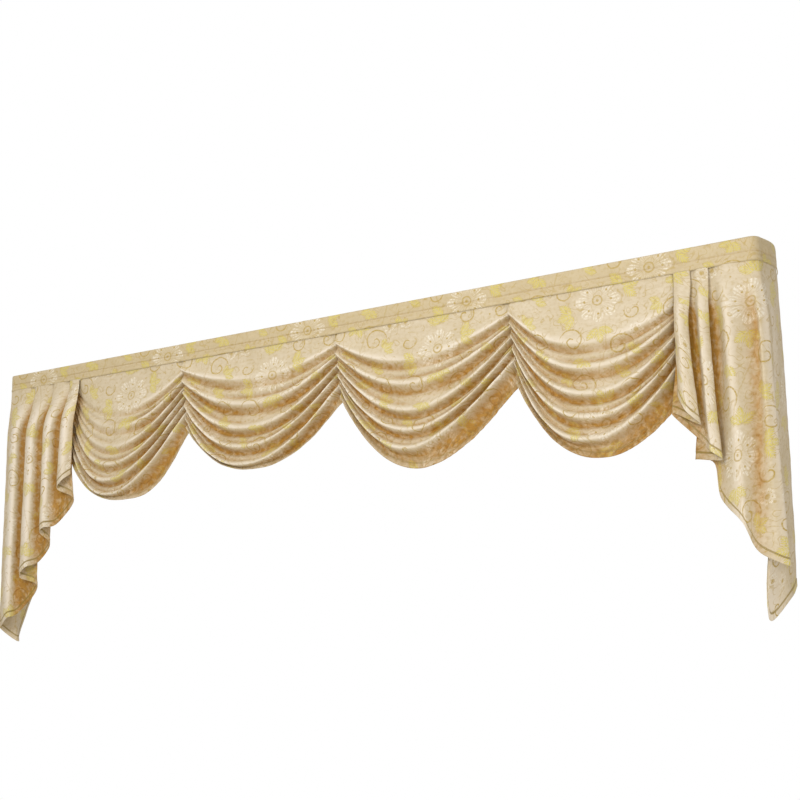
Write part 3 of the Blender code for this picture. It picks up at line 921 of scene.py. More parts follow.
@dataclass(frozen=True)
class SewingThread:
    """Spun polyester sewing thread, dyed to match: dull, with only a faint shine."""

    colour: str = "#b9a877"
    pale_colour: str = "#d8caa0"
    roughness: float = 0.62
    fuzz_scale: float = 900.0

    def make(self) -> bpy.types.Material:
        """Makes the thread.

        Returns:
            The material.
        """
        material = bpy.data.materials.new("Spun sewing thread")
        material.use_nodes = True
        tree = material.node_tree
        shader = tree.nodes["Principled BSDF"]
        shader.inputs["Roughness"].default_value = self.roughness
        known = add_steps(tree, {}, (
            Step("place", "ShaderNodeTexCoord", {}, (), "Object"),
            Step("fuzz", NOISE, {}, {"Vector": "place", "Scale": self.fuzz_scale, "Detail": 2.0}),
            Step("spun", MIX, COLOURS, {
                "Factor": "fuzz", 6: linear(self.colour), 7: linear(self.pale_colour),
            }, 2),
        ))
        tree.links.new(known["spun"], shader.inputs["Base Color"])
        return material


@dataclass(frozen=True)
class MattFloor:
    """Matt painted board: pale and even, so that it gives back soft light without a shine."""

    colour: str = "#f4f2ee"
    roughness: float = 0.9

    def make(self) -> bpy.types.Material:
        """Makes the floor's paint.

        Returns:
            The material.
        """
        material = bpy.data.materials.new("Matt painted floor")
        material.use_nodes = True
        shader = material.node_tree.nodes["Principled BSDF"]
        shader.inputs["Base Color"].default_value = linear(self.colour)
        shader.inputs["Roughness"].default_value = self.roughness
        return material


def seam_z(x: Any) -> Any:
    """The height of the heading's lower seam at x."""
    share = (x + HALF_WIDTH) / (2 * HALF_WIDTH)
    return SEAM_LEFT + (SEAM_RIGHT - SEAM_LEFT) * share


def smoothed(lines: np.ndarray, steps: int) -> np.ndarray:
    """Puts more lines of points between the given ones, on curves through them.

    Args:
        lines: The lines, first index along the run of lines.
        steps: How many lines each interval becomes.

    Returns:
        The finer run of lines.
    """
    first = 2 * lines[:1] - lines[1:2]
    last = 2 * lines[-1:] - lines[-2:-1]
    run = np.concatenate([first, lines, last])
    found = []
    for before, start, end, after in zip(run, run[1:], run[2:], run[3:]):
        for share in np.arange(steps) / steps:
            bend = 2 * before - 5 * start + 4 * end - after
            turn = 3 * start - before - 3 * end + after
            rise = (end - before) * share
            found.append(start + (rise + bend * share**2 + turn * share**3) / 2)
    found.append(lines[-1])
    return np.array(found)


def eased(share: Any) -> Any:
    """A share from 0 to 1 that starts and ends gently."""
    share = np.clip(share, 0, 1)
    return share * share * (3 - 2 * share)


def run_lengths(points: np.ndarray, axis: int) -> np.ndarray:
    """How far each point of a grid is along the cloth from the grid's first edge.

    Args:
        points: The grid of places.
        axis: 0 to measure down the rows, 1 to measure across them.

    Returns:
        The lengths, one for each point.
    """
    gaps = np.linalg.norm(np.diff(points, axis=axis), axis=2)
    pad = [(0, 0), (0, 0)]
    pad[axis] = (1, 0)
    return np.cumsum(np.pad(gaps, pad), axis=axis)


class Ripple(NamedTuple):
    """A run of waves in cloth.

    How strong it is beside the others, its waves across and down in radians for each unit,
    where it starts, and how far its crests sway, with the sway's own waves across and down.
    """

    strength: float
    across: float
    down: float
    start: float
    sway: float
    sway_across: float
    sway_down: float


UNEVENNESS = (
    Ripple(1.0, 31.0, 0.0, 1.3, 2.0, 0.0, 9.0),
    Ripple(0.7, 57.0, -23.0, 0.4, 0.0, 0.0, 0.0),
    Ripple(0.5, 41.0, 83.0, 0.0, 2.0, 17.0, 0.0),
)
PUCKERS = (
    Ripple(1.0, 150.0, 0.0, 0.0, 2.2, 37.0, 0.0),
    Ripple(0.6, 263.0, 0.0, 1.1, 0.0, 0.0, 0.0),
)


def waves(runs: tuple[Ripple, ...], across: np.ndarray, down: Any) -> np.ndarray:
    """Adds runs of waves together.

    Args:
        runs: The runs of waves.
        across: How far across the cloth each point is.
        down: How far down the cloth each point is.

    Returns:
        The height of the waves at each point.
    """
    height = np.zeros_like(across)
    for run in runs:
        sway = run.sway * np.sin(run.sway_across * across + run.sway_down * down)
        height += run.strength * np.sin(run.across * across + run.down * down + run.start + sway)
    return height


@dataclass
class Sheet:
    """A piece of cloth: a grid of points, each with the painted shade its depth in a fold gives it, or
    below 0 a painted highlight.
    """

    name: str
    points: np.ndarray
    depth: np.ndarray
    across_start: float
    down_start: float
    thickness: float = CLOTH_THICKNESS
    hemmed: bool = True
    ripple: float = 0.0006
    ripple_start: float = 0.04
    hem_raise: float = 0.0010
    hem_fold: float = 0.001
    hem_slope: float = 0.004
    seen_reach: float = 0.006

    def normals(self) -> np.ndarray:
        """The unit normals of the grid, towards the viewer's side."""
        down = np.gradient(self.points, axis=0)
        across = np.gradient(self.points, axis=1)
        found = np.cross(down, across)
        return found / np.maximum(np.linalg.norm(found, axis=2, keepdims=True), 1e-9)

    def across(self) -> np.ndarray:
        """How far across the cloth each point is, in metres."""
        lengths = run_lengths(self.points, 1)
        middle = lengths[:, lengths.shape[1] // 2][:, None]
        return lengths - middle + self.across_start

    def down(self) -> np.ndarray:
        """How far down the cloth each point is, in metres."""
        return run_lengths(self.points, 0) + self.down_start

    def to_hem(self) -> np.ndarray:
        """How far each point is from the hem's edge, along the cloth, in metres."""
        lengths = run_lengths(self.points, 0)
        return lengths[-1:] - lengths

    def rippled(self) -> np.ndarray:
        """The grid with the small unevenness of hand-dressed cloth, still at its seam."""
        proud = self.ripple * waves(UNEVENNESS, self.across(), self.down())
        proud = proud * eased(run_lengths(self.points, 0) / self.ripple_start)
        if self.hemmed:
            into_hem = (HEM_DEPTH + self.hem_fold - self.to_hem()) / self.hem_slope
            proud = proud + self.hem_raise * (eased(into_hem) - 0.5)
        return self.points + self.normals() * proud[..., None]

    def seen_place(self, x: float, z: float) -> tuple[float, float]:
        """Where on the cloth the foremost point at a place seen from the front is.

        Args:
            x: The place's x, in metres.
            z: The place's z, in metres.

        Returns:
            How far across and down the cloth it is, in metres.
        """
        away = np.hypot(self.points[..., 0] - x, self.points[..., 2] - z)
        near = away <= away.min() + self.seen_reach
        foremost = np.argmin(np.where(near, self.points[..., 1], np.inf))
        return float(self.across().flat[foremost]), float(self.down().flat[foremost])

    def build(self, material: bpy.types.Material) -> bpy.types.Object:
        """Makes the cloth's object with its thickness, its UV map and its attributes.

        Args:
            material: The cloth's finish.

        Returns:
            The object.
        """
        points = self.rippled()
        rows, columns = points.shape[:2]
        sheet = bmesh.new()
        bmesh.ops.create_grid(sheet, x_segments=columns - 1, y_segments=rows - 1, size=0.5)
        for vert, place in zip(sheet.verts, points.reshape(-1, 3)):
            vert.co = place
        sheet.verts.index_update()
        layer = sheet.loops.layers.uv.new("Cloth")
        across, down = self.across().ravel(), self.down().ravel()
        for face in sheet.faces:
            face.smooth = True
            for loop in face.loops:
                loop[layer].uv = (across[loop.vert.index], down[loop.vert.index])
        mesh = bpy.data.meshes.new(f"{self.name}_cloth")
        sheet.to_mesh(mesh)
        sheet.free()
        hem = self.to_hem() if self.hemmed else np.full((rows, columns), 1.0)
        # The painted shade and highlight, and the distance to the hem, go to the shader as attributes.
        for label, values in (("painted_fold_shade", self.depth), ("hem_distance", hem)):
            attribute = mesh.attributes.new(label, "FLOAT", "POINT")
            attribute.data.foreach_set("value", np.ascontiguousarray(values, dtype=np.float32).ravel())
        mesh.materials.append(material)
        cloth = bpy.data.objects.new(f"{self.name}_cloth", mesh)
        bpy.context.scene.collection.objects.link(cloth)
        wall = cloth.modifiers.new("Cloth thickness", "SOLIDIFY")
        wall.thickness = self.thickness
        wall.offset = 0.0
        wall.use_quality_normals = True
        return cloth

    def line_above_hem(self, height: float, lift: float) -> np.ndarray:
        """A line of points on the cloth's face, a given height above the hem's edge.

        Args:
            height: How far above the edge, along the cloth, in metres.
            lift: How far in front of the cloth's middle, in metres.

        Returns:
            The points, one for each column.
        """
        points, distance = self.rippled() + self.normals() * lift, self.to_hem()
        found = []
        for column in range(points.shape[1]):
            order = distance[::-1, column]
            found.append([np.interp(height, order, points[::-1, column, part]) for part in range(3)])
        return np.array(found)

    def stitched_line(self) -> np.ndarray:
        """The line on the cloth's face that its hem, or its folded lower edge, is stitched along."""
        lift = self.thickness / 2 + THREAD_LIFT
        if self.hemmed:
            return self.line_above_hem(HEM_DEPTH, lift)
        return (self.points + self.normals() * lift)[-2]


class Laid(NamedTuple):
    """A swag's cloth laid in folds.

    Its points, each with a depth in its fold, a tuck and a shade, then how many lines down each
    row is, and how far across each column is, from 0 to 1.
    """

    grid: np.ndarray
    place: np.ndarray
    shares: np.ndarray


class Side(NamedTuple):
    """One side of a swag: each column's share of the way from it, its creases' start, its seam's end."""

    aside: np.ndarray
    start: float
    seam_back: float


@dataclass
class SwagPiece:
    """A swag of cloth, gathered to a line at each side.

    Its gathers, how far its sides lie forward at two levels, its seam's ends back, its folds,
    how its hem strip is shaded at the left, middle and right, and its pucker.
    """

    name: str
    left: Gather
    right: Gather
    left_forward: tuple[float, float]
    right_forward: tuple[float, float]
    left_seam: float
    right_seam: float
    folds: tuple[Fold, ...]
    hem_shade: tuple[float, float, float]
    pucker: float
    columns: int = 150
    rows_per_tuck: int = 13
    valley_share: float = 0.40
    lap: float = 0.006
    lap_share: float = 0.02
    hidden_share: float = 0.07
    seam_share: float = 0.036
    gather_tuck: float = 0.013
    belly_power: float = 0.6
    apron_sag: float = 0.007
    edge_crowding: float = 0.09
    deepest_tuck: float = 0.030
    turned_under: float = 0.7
    turned_over: float = 0.1
    turned_at_sides: float = 0.5
    side_power: float = 1.5
    underside_power: float = 0.6
    upper_power: float = 1.5
    crease: float = 0.0075
    crease_full: float = 0.02
    crease_reach: float = 0.13
    crease_margin: float = 0.06
    crease_place: float = 1.58
    crease_breadth: float = 0.12
    ridge_place: float = 1.26
    ridge_breadth: float = 0.14
    ridge_rise: float = 0.6
    crease_starts: tuple[float, float] = (0.6, 2.1)
    crease_strength: float = 0.75
    crease_spread: float = 0.35
    crease_turn: float = 2.4
    crease_shade: float = 0.8
    ridge_light: float = 0.7
    faint_crease: float = 0.75
    faint_share: float = 0.3
    faint_turn: float = 3.1
    faint_sway: float = 5.0
    side_shade: float = 0.040
    side_depth: tuple[float, float] = (0.25, 0.5)
    hidden_shade: float = 0.060
    first_crest: float = 1.2
    crest_light: float = 0.45
    crest_breadth: float = 0.24
    crest_middle: float = 0.45
    darkest_crest: float = 0.4
    creased_tuck: float = 0.014
    pucker_start: float = 0.52
    pucker_rise: float = 0.20
    pucker_end: float = 0.97
    pucker_fall: float = 0.08
    pucker_shade: float = 90.0
    forward_levels: tuple[float, float] = (-0.10, -0.20)
    tuck_stations: tuple[float, ...] = (0.0, 0.12, 0.28, 0.5, 0.72, 0.88, 1.0)

    def hidden(self, seam_back: float) -> bool:
        """Whether the side whose seam's end lies this far back is hidden behind a tail."""
        return seam_back >= HIDDEN_SEAM

    def gather_x(self, gather: Gather, z: float) -> float:
        """Where a gather's line is at height z."""
        levels = (gather.bottom_z, gather.knee_z, seam_z(gather.top_x))
        return float(np.interp(z, levels, (gather.bottom_x, gather.knee_x, gather.top_x)))

    def forward_at(self, forward: tuple[float, float], z: float) -> float:
        """How far forward a side lies at height z."""
        upper, lower = self.forward_levels
        return float(np.interp(-z, (-upper, -lower), forward))

    def hanging(self, fold: Fold, shares: np.ndarray) -> tuple[np.ndarray, np.ndarray]:
        """The x and z of a line that hangs from side to side through a fold's lowest point.

        Args:
            fold: The fold.
            shares: How far across each point is, from 0 to 1.

        Returns:
            The x and the z of the points.
        """
        left_x = self.gather_x(self.left, fold.left_z)
        right_x = self.gather_x(self.right, fold.right_z) + self.lap
        x = left_x + (right_x - left_x) * shares
        to_left = np.clip((fold.low_x - x) / (fold.low_x - left_x), 0, 1) ** fold.left_power
        to_right = np.clip((x - fold.low_x) / (right_x - fold.low_x), 0, 1) ** fold.right_power
        left_rise = (fold.left_z - fold.low_z) * to_left
        right_rise = (fold.right_z - fold.low_z) * to_right
        return x, fold.low_z + left_rise + right_rise

    def lines(self, shares: np.ndarray) -> tuple[np.ndarray, np.ndarray]:
        """Works out the swag's seam and the lines below it that its cloth passes through.

        Args:
            shares: How far across each point is, from 0 to 1.

        Returns:
            The seam and the lines. Each point is a place, a depth in its fold, a tuck and a shade.
        """
        start = self.hidden_share if self.hidden(self.left_seam) else self.lap_share
        end = self.hidden_share if self.hidden(self.right_seam) else self.lap_share
        belly = np.sin(math.pi * np.clip((shares - start) / (1 - start - end), 0, 1))
        belly = np.clip(belly, 0, 1) ** self.belly_power
        blank = np.zeros_like(shares)
        crests, tucks = [], []
        for fold in self.folds:
            x, z = self.hanging(fold, shares)
            left_side = self.forward_at(self.left_forward, fold.left_z)
            right_side = self.forward_at(self.right_forward, fold.right_z)
            side = left_side + (right_side - left_side) * shares
            y = -side - (fold.proud - side) * belly
            left, low, right = fold.tuck_left, fold.tuck_low, fold.tuck_right
            depths = (self.gather_tuck, left, left, low, right, right, self.gather_tuck)
            tucks.append(np.interp(shares, self.tuck_stations, depths))
            crests.append(np.stack([x, y, z, blank, tucks[-1], blank], axis=1))
        crests[-1][:, SHADE] = np.interp(shares, (0.1, 0.5, 0.9), self.hem_shade)
        left_x, right_x = self.left.top_x, self.right.top_x + self.lap
        x = left_x + (right_x - left_x) * shares
        left_back = eased((2 * self.seam_share - shares) / self.seam_share)
        right_back = eased((shares - 1 + 2 * self.seam_share) / self.seam_share)
        y = self.left_seam * left_back + self.right_seam * right_back
        seam = np.stack([x, y, seam_z(x) - SEWN_GAP, blank, blank, blank], axis=1)
        stitched = seam - (0.0, 0.0, STITCHED_DEPTH, 0.0, 0.0, 0.0)
        apron = (stitched + crests[0]) / 2
        apron[:, 1] += self.apron_sag * belly
        apron[:, TUCK:] = 0.0
        lines = [stitched, apron]
        for crest, below, tuck in zip(crests, crests[1:], tucks):
            valley = crest + (below - crest) * self.valley_share
            valley[:, 1] += tuck
            valley[:, DEPTH] = valley[:, SHADE] = np.clip(tuck / self.deepest_tuck, 0, 1)
            lines += [crest, valley]
        lines.append(crests[-1])
        return seam, np.array(lines)

    def laid(self) -> Laid:
        """Works out the swag's folds, with columns closer together at its sides.

        Returns:
            The cloth as it is laid.
        """
        run = np.linspace(0, 1, self.columns + 1)
        shares = run - self.edge_crowding * np.sin(2 * math.pi * run)
        seam, lines = self.lines(shares)
        grid = np.concatenate([seam[None], smoothed(lines, self.rows_per_tuck)])
        place = np.concatenate([[0.0], np.arange(grid.shape[0] - 1) / self.rows_per_tuck])
        return Laid(grid, place[:, None], shares)

    def narrowing(self, laid: Laid) -> np.ndarray:
        """How much the folds are narrowed at each column, from 0 at the middle to 1."""
        return np.clip(np.abs(laid.shares - 0.5) * 2, 0, 1)[None] ** self.side_power

    def held(self, laid: Laid) -> np.ndarray:
        """How firmly its tuck holds each point, from 0 to 1."""
        return np.clip(laid.grid[..., TUCK] / self.creased_tuck, 0, 1)

    def rolled(self, laid: Laid) -> tuple[np.ndarray, np.ndarray]:
        """Turns the undersides of the folds in, so that each fold rolls over a sharp groove.

        Args:
            laid: The cloth.

        Returns:
            The places and the shades of its points.
        """
        points, depth = laid.grid[..., :DEPTH].copy(), np.clip(laid.grid[..., DEPTH], 0, 1)
        underside = (laid.place % 2) <= 1
        at_sides = self.turned_at_sides * self.narrowing(laid)
        turned_in = np.where(underside, self.turned_under + at_sides, self.turned_over + at_sides)
        points[..., 1] += np.clip(laid.grid[..., TUCK], 0, None) * depth * (1 - depth) * turned_in
        power = np.where(underside, self.underside_power, self.upper_power)
        return points, np.clip(laid.grid[..., SHADE], 0, 1) ** power

    def creases(self, laid: Laid, side: Side) -> np.ndarray:
        """How firmly the folds are creased, beside a gather and faintly further out.

        Args:
            laid: The cloth.
            side: The side that the creases run out from.

        Returns:
            A share from 0 to 1 for each point.
        """
        fold = np.floor(laid.place / 2)
        first_valley, last_valley = 3, 2 * len(self.folds) - 1
        on_fold = (laid.place > first_valley) & (laid.place < last_valley)
        out = side.aside * (self.right.top_x - self.left.top_x) - self.crease_full
        fade = np.exp(-np.maximum(out, 0)[None] / self.crease_reach)
        spread = self.crease_spread * np.sin(self.crease_turn * fold + side.start)
        strength = np.clip(self.crease_strength + spread, 0, 1)
        sway = np.sin(self.faint_turn * fold + self.faint_sway * laid.shares[None] + side.start)
        faint = self.faint_crease * np.clip(self.faint_share + sway, 0, 1)
        margin = eased(side.aside / self.crease_margin)[None]
        return np.maximum(fade * strength, faint) * on_fold * self.held(laid) * margin

    def shade_beside(self, laid: Laid, side: Side) -> np.ndarray:
        """The shade beside a gather, where the cloth turns in or goes behind a tail.

        Args:
            laid: The cloth.
            side: The side.

        Returns:
            The shade of each point.
        """
        hidden = self.hidden(side.seam_back)
        out = side.aside * (self.right.top_x - self.left.top_x)
        reach = self.hidden_shade if hidden else self.side_shade
        beside = np.exp(-((out / reach) ** 2))[None] * eased((laid.place - 1) / 2)
        flat, deep = self.side_depth
        full = 1.0 if hidden else flat + deep * np.clip(laid.grid[..., DEPTH], 0, 1)
        return full * beside

    def crest_lights(self, laid: Laid) -> np.ndarray:
        """Works out where the folds' crests get a painted highlight, as if they caught the light.

        Args:
            laid: The cloth.

        Returns:
            A share from 0 to 1 for each point.
        """
        from_crest = (laid.place + 1) % 2 - 1
        crest = np.exp(-(from_crest / self.crest_breadth) ** 2) * (laid.place > self.first_crest)
        sides = self.crest_middle + (1 - self.crest_middle) * self.narrowing(laid)
        return crest * sides * self.held(laid)

    def puckers(self, laid: Laid) -> np.ndarray:
        """Puckers the hem strip on the right, where it is gathered.

        Args:
            laid: The cloth.

        Returns:
            How far back each point goes, as a share of the pucker.
        """
        starts = eased((laid.shares - self.pucker_start) / self.pucker_rise)
        ends = eased((self.pucker_end - laid.shares) / self.pucker_fall)
        at_hem = np.clip((laid.place - 2 * len(self.folds) + 1) / 2, 0, 1)
        return at_hem * (starts * ends * waves(PUCKERS, laid.shares, 0.0))[None]

    def sheet(self) -> Sheet:
        """Works out the swag's cloth, with sharp undersides to its folds and creases at its sides.

        Returns:
            The sheet.
        """
        laid = self.laid()
        points, shade = self.rolled(laid)
        in_fold = laid.place % 2
        in_crease = np.exp(-(((in_fold - self.crease_place) / self.crease_breadth) ** 2))
        on_ridge = np.exp(-(((in_fold - self.ridge_place) / self.ridge_breadth) ** 2))
        left, right = self.crease_starts
        left_side = Side(laid.shares, left, self.left_seam)
        right_side = Side(1 - laid.shares, right, self.right_seam)
        for side in (left_side, right_side):
            share = self.creases(laid, side)
            points[..., 1] += self.crease * share * (in_crease - self.ridge_rise * on_ridge)
            lighter = shade * (1 - self.ridge_light * share * on_ridge)
            shade = np.maximum(lighter, self.crease_shade * share * in_crease)
            shade = np.maximum(shade, self.shade_beside(laid, side))
        # The crests get a painted highlight, as shade below 0.
        shade = shade - self.crest_light * self.crest_lights(laid) * (shade < self.darkest_crest)
        puckered = self.pucker * self.puckers(laid)
        points[..., 1] += puckered
        shade = np.clip(shade + self.pucker_shade * puckered, -self.crest_light, 1)
        middle = (self.left.top_x + self.right.top_x) / 2
        return Sheet(self.name, points, shade, middle, -float(seam_z(self.left.top_x)))


@dataclass
class TailPiece:
    """A pleated tail with a slanting hem, wrapped round the corner onto the return."""

    name: str
    turns: tuple[Turn, ...]
    shade_power: float
    pale_hem: float
    lit_hem: float
    rows: int = 100
    hem_rows: int = 16
    hem_reach: float = 0.036
    columns_per_turn: int = 10
    mid_level: float = -0.26
    shade_gain: float = 1.5
    shade_start: float = 0.16
    pale_hem_reach: float = 0.16
    lower_swing: float = 1.5

    def sheet(self) -> Sheet:
        """Works out the tail's cloth.

        Returns:
            The sheet.
        """
        lines = []
        for turn in self.turns:
            top_z = seam_z(turn.top_x) - SEWN_GAP
            free_z = top_z - STITCHED_DEPTH
            above = np.linspace(free_z, turn.hem_z + self.hem_reach, self.rows)
            at_hem = np.linspace(turn.hem_z + self.hem_reach, turn.hem_z, self.hem_rows)[1:]
            z = np.concatenate([[top_z], above, at_hem])
            upper = eased((free_z - z) / (free_z - self.mid_level))
            lower = np.clip((self.mid_level - z) / (self.mid_level - turn.hem_z), 0, 1) ** self.lower_swing
            x = turn.top_x + (turn.mid_x - turn.top_x) * upper + (turn.low_x - turn.mid_x) * lower
            y = turn.top_y + (turn.mid_y - turn.top_y) * upper + (turn.low_y - turn.mid_y) * lower
            # Painted shade in the grooves fades towards the hem by pale_hem, and lit_hem paints a highlight
            # there.
            low = eased((turn.hem_z + self.pale_hem_reach - z) / self.pale_hem_reach)
            depth = turn.depth * eased((free_z - z) / self.shade_start) * (1 - self.pale_hem * low)
            depth = depth - self.lit_hem * low
            lines.append(np.stack([x, y, z, depth], axis=1))
        grid = smoothed(np.array(lines), self.columns_per_turn).transpose(1, 0, 2)
        start = -float(seam_z(self.turns[0].top_x))
        middle = self.turns[len(self.turns) // 2].top_x
        # Grooves get painted shade; crests, below 0, keep their painted highlight.
        depth = grid[..., 3]
        groove = np.clip(self.shade_gain * np.clip(depth, 0, 1) ** self.shade_power, 0, 1)
        shade = np.where(depth < 0, depth, groove)
        return Sheet(self.name, grid[..., :3], shade, middle, start)


class BandRow(NamedTuple):
    """One row of the heading: how far down it is as a share, how proud and how deep in shade."""

    share: float
    proud: float
    shade: float


@dataclass
class HeadingBand:
    """The flat heading band: along the front, round both corners and back along the returns."""

    name: str = "heading_band"
    return_depth: float = 0.178
    corner_radius: float = 0.025
    bulge: float = 0.014
    thickness: float = 0.0014
    tuck_line: float = 0.62
    ridge: float = 0.0012
    front_steps: int = 260
    corner_steps: int = 10
    return_steps: int = 16

    def path(self) -> tuple[np.ndarray, np.ndarray]:
        """The band's middle line, seen from above, and the directions out of it."""
        points, outward = [], []
        for share in np.arange(self.return_steps) / self.return_steps:
            swell = self.bulge * math.sin(math.pi * share)
            y = self.return_depth + (self.corner_radius - self.return_depth) * share
            points.append((-HALF_WIDTH - swell, y))
            outward.append((-1.0, 0.0))
        for angle in np.linspace(math.pi, 1.5 * math.pi, self.corner_steps + 1):
            over, along = math.cos(angle), math.sin(angle)
            centre = self.corner_radius - HALF_WIDTH
            points.append((centre + self.corner_radius * over, self.corner_radius * (1 + along)))
            outward.append((over, along))
        reach = HALF_WIDTH - self.corner_radius
        for x in np.linspace(-reach, 0, self.front_steps // 2 + 1)[1:]:
            points.append((x, 0.0))
            outward.append((0.0, -1.0))
        points += [(-x, y) for x, y in points[-2::-1]]
        outward += [(-x, y) for x, y in outward[-2::-1]]
        return np.array(points), np.array(outward)

    def sheet(self) -> Sheet:
        """Works out the band's cloth.

        Returns:
            The sheet.
        """
        points, outward = self.path()
        tuck = self.tuck_line
        profile = (
            BandRow(0.0, 0.0, 0.0),
            BandRow(0.10, 0.0007, 0.0),
            BandRow(0.30, 0.0004, 0.0),
            BandRow(tuck - 0.08, 0.0008, 0.0),
            BandRow(tuck - 0.03, 0.0004, 0.12),
            BandRow(tuck, -0.0008, 0.30),
            BandRow(tuck + 0.04, 0.0006, 0.05),
            BandRow(tuck + 0.10, 0.0004, 0.0),
            BandRow(0.82, 0.0, 0.12),
            BandRow(0.87, self.ridge * 0.7, 0.0),
            BandRow(0.91, self.ridge, 0.0),
            BandRow(0.95, self.ridge * 1.1, 0.0),
            BandRow(0.99, self.ridge, 0.0),
            BandRow(1.03, self.ridge, 0.0),
        )
        rows, depth = [], []
        for row in profile:
            x, y = (points + outward * row.proud).T
            rows.append(np.stack([x, y, seam_z(points[:, 0]) * row.share], axis=1))
            depth.append(np.full(len(points), row.shade))
        return Sheet(self.name, np.array(rows), np.array(depth), 0.0, 0.0, self.thickness, False, 0.0)


@dataclass
class StitchRow:
    """A row of sewn stitches along a line on the cloth."""

    name: str
    path: np.ndarray
    pitch: float = 0.0052
    length: float = 0.0038
    thread: float = 0.0009
    sides: int = 6

    def tree(self, thread: bpy.types.Material) -> bpy.types.NodeTree:
        """Makes the Geometry Nodes tree that sets a stitch at each step along the path.

        Args:
            thread: The stitches' finish.

        Returns:
            The tree.
        """
        tree = bpy.data.node_groups.new(f"Stitches of {self.name}", "GeometryNodeTree")
        tree.interface.new_socket("Path", in_out="INPUT", socket_type="NodeSocketGeometry")
        for label in ("Pitch", "Stitch length", "Thread"):
            tree.interface.new_socket(label, in_out="INPUT", socket_type="NodeSocketFloat")
        tree.interface.new_socket("Stitches", in_out="OUTPUT", socket_type="NodeSocketGeometry")
        entry = add_node(tree, "NodeGroupInput")
        known = {label: entry.outputs[label] for label in ("Path", "Pitch", "Stitch length", "Thread")}
        known = add_steps(tree, known, (
            Step("curve", "GeometryNodeMeshToCurve", {}, ("Path",)),
            Step("stepped", "GeometryNodeResampleCurve", {"mode": "LENGTH"}, {
                "Curve": "curve", "Length": "Pitch",
            }),
            Step("along", "GeometryNodeInputTangent", {}, ()),
            Step("turned", "FunctionNodeAlignRotationToVector", {"axis": "Z"}, {"Vector": "along"}),
            Step("barrel", "GeometryNodeMeshCylinder", {"fill_type": "NGON"}, {
                "Vertices": self.sides, "Radius": "Thread", "Depth": "Stitch length",
            }),
            Step("soft", "GeometryNodeSetShadeSmooth", {}, {"Geometry": "barrel"}),
            Step("placed", "GeometryNodeInstanceOnPoints", {}, {
                "Points": "stepped", "Instance": "soft", "Rotation": "turned",
            }),
            Step("real", "GeometryNodeRealizeInstances", {}, ("placed",)),
            Step("finished", "GeometryNodeSetMaterial", {}, {"Geometry": "real", "Material": thread}),
        ))
        add_node(tree, "NodeGroupOutput", {0: known["finished"]})
        return tree

    def build(self, thread: bpy.types.Material) -> bpy.types.Object:
        """Makes the stitches as one plain mesh.

        Args:
            thread: The stitches' finish.

        Returns:
            The object.
        """
        mesh = bpy.data.meshes.new(f"{self.name}_path")
        mesh.from_pydata(self.path.tolist(), [(i, i + 1) for i in range(len(self.path) - 1)], [])
        holder = bpy.data.objects.new(f"{self.name}_path", mesh)
        bpy.context.scene.collection.objects.link(holder)
        tree = self.tree(thread)
        sewn = holder.modifiers.new("Stitches", "NODES")
        sewn.node_group = tree
        sizes = {"Pitch": self.pitch, "Stitch length": self.length, "Thread": self.thread / 2}
        for item in tree.interface.items_tree:
            if item.name in sizes:
                sewn[item.identifier] = sizes[item.name]
        graph = bpy.context.evaluated_depsgraph_get()
        made = bpy.data.meshes.new_from_object(holder.evaluated_get(graph))
        made.name = self.name
        bpy.data.objects.remove(holder)
        stitches = bpy.data.objects.new(self.name, made)
        bpy.context.scene.collection.objects.link(stitches)
        return stitches


class Lamp(NamedTuple):
    """One square lamp: its name, its place, what it faces, its side, its power and its colour."""

    name: str
    place: tuple[float, float, float]
    target: tuple[float, float, float]
    side: float
    power: float
    colour: str


LAMPS = (
    Lamp("Key", (0.1, -4.2, 1.5), (0.3, 0.0, -0.4), 1.4, 71.0, "#fffaf2"),
    Lamp("Fill", (3.2, -3.6, -1.3), (1.1, 0.0, -0.8), 1.8, 46.0, "#fffaf2"),
    Lamp("Top", (0.3, -1.2, 3.2), (0.0, 0.0, -0.2), 2.0, 34.0, "#ffffff"),
)


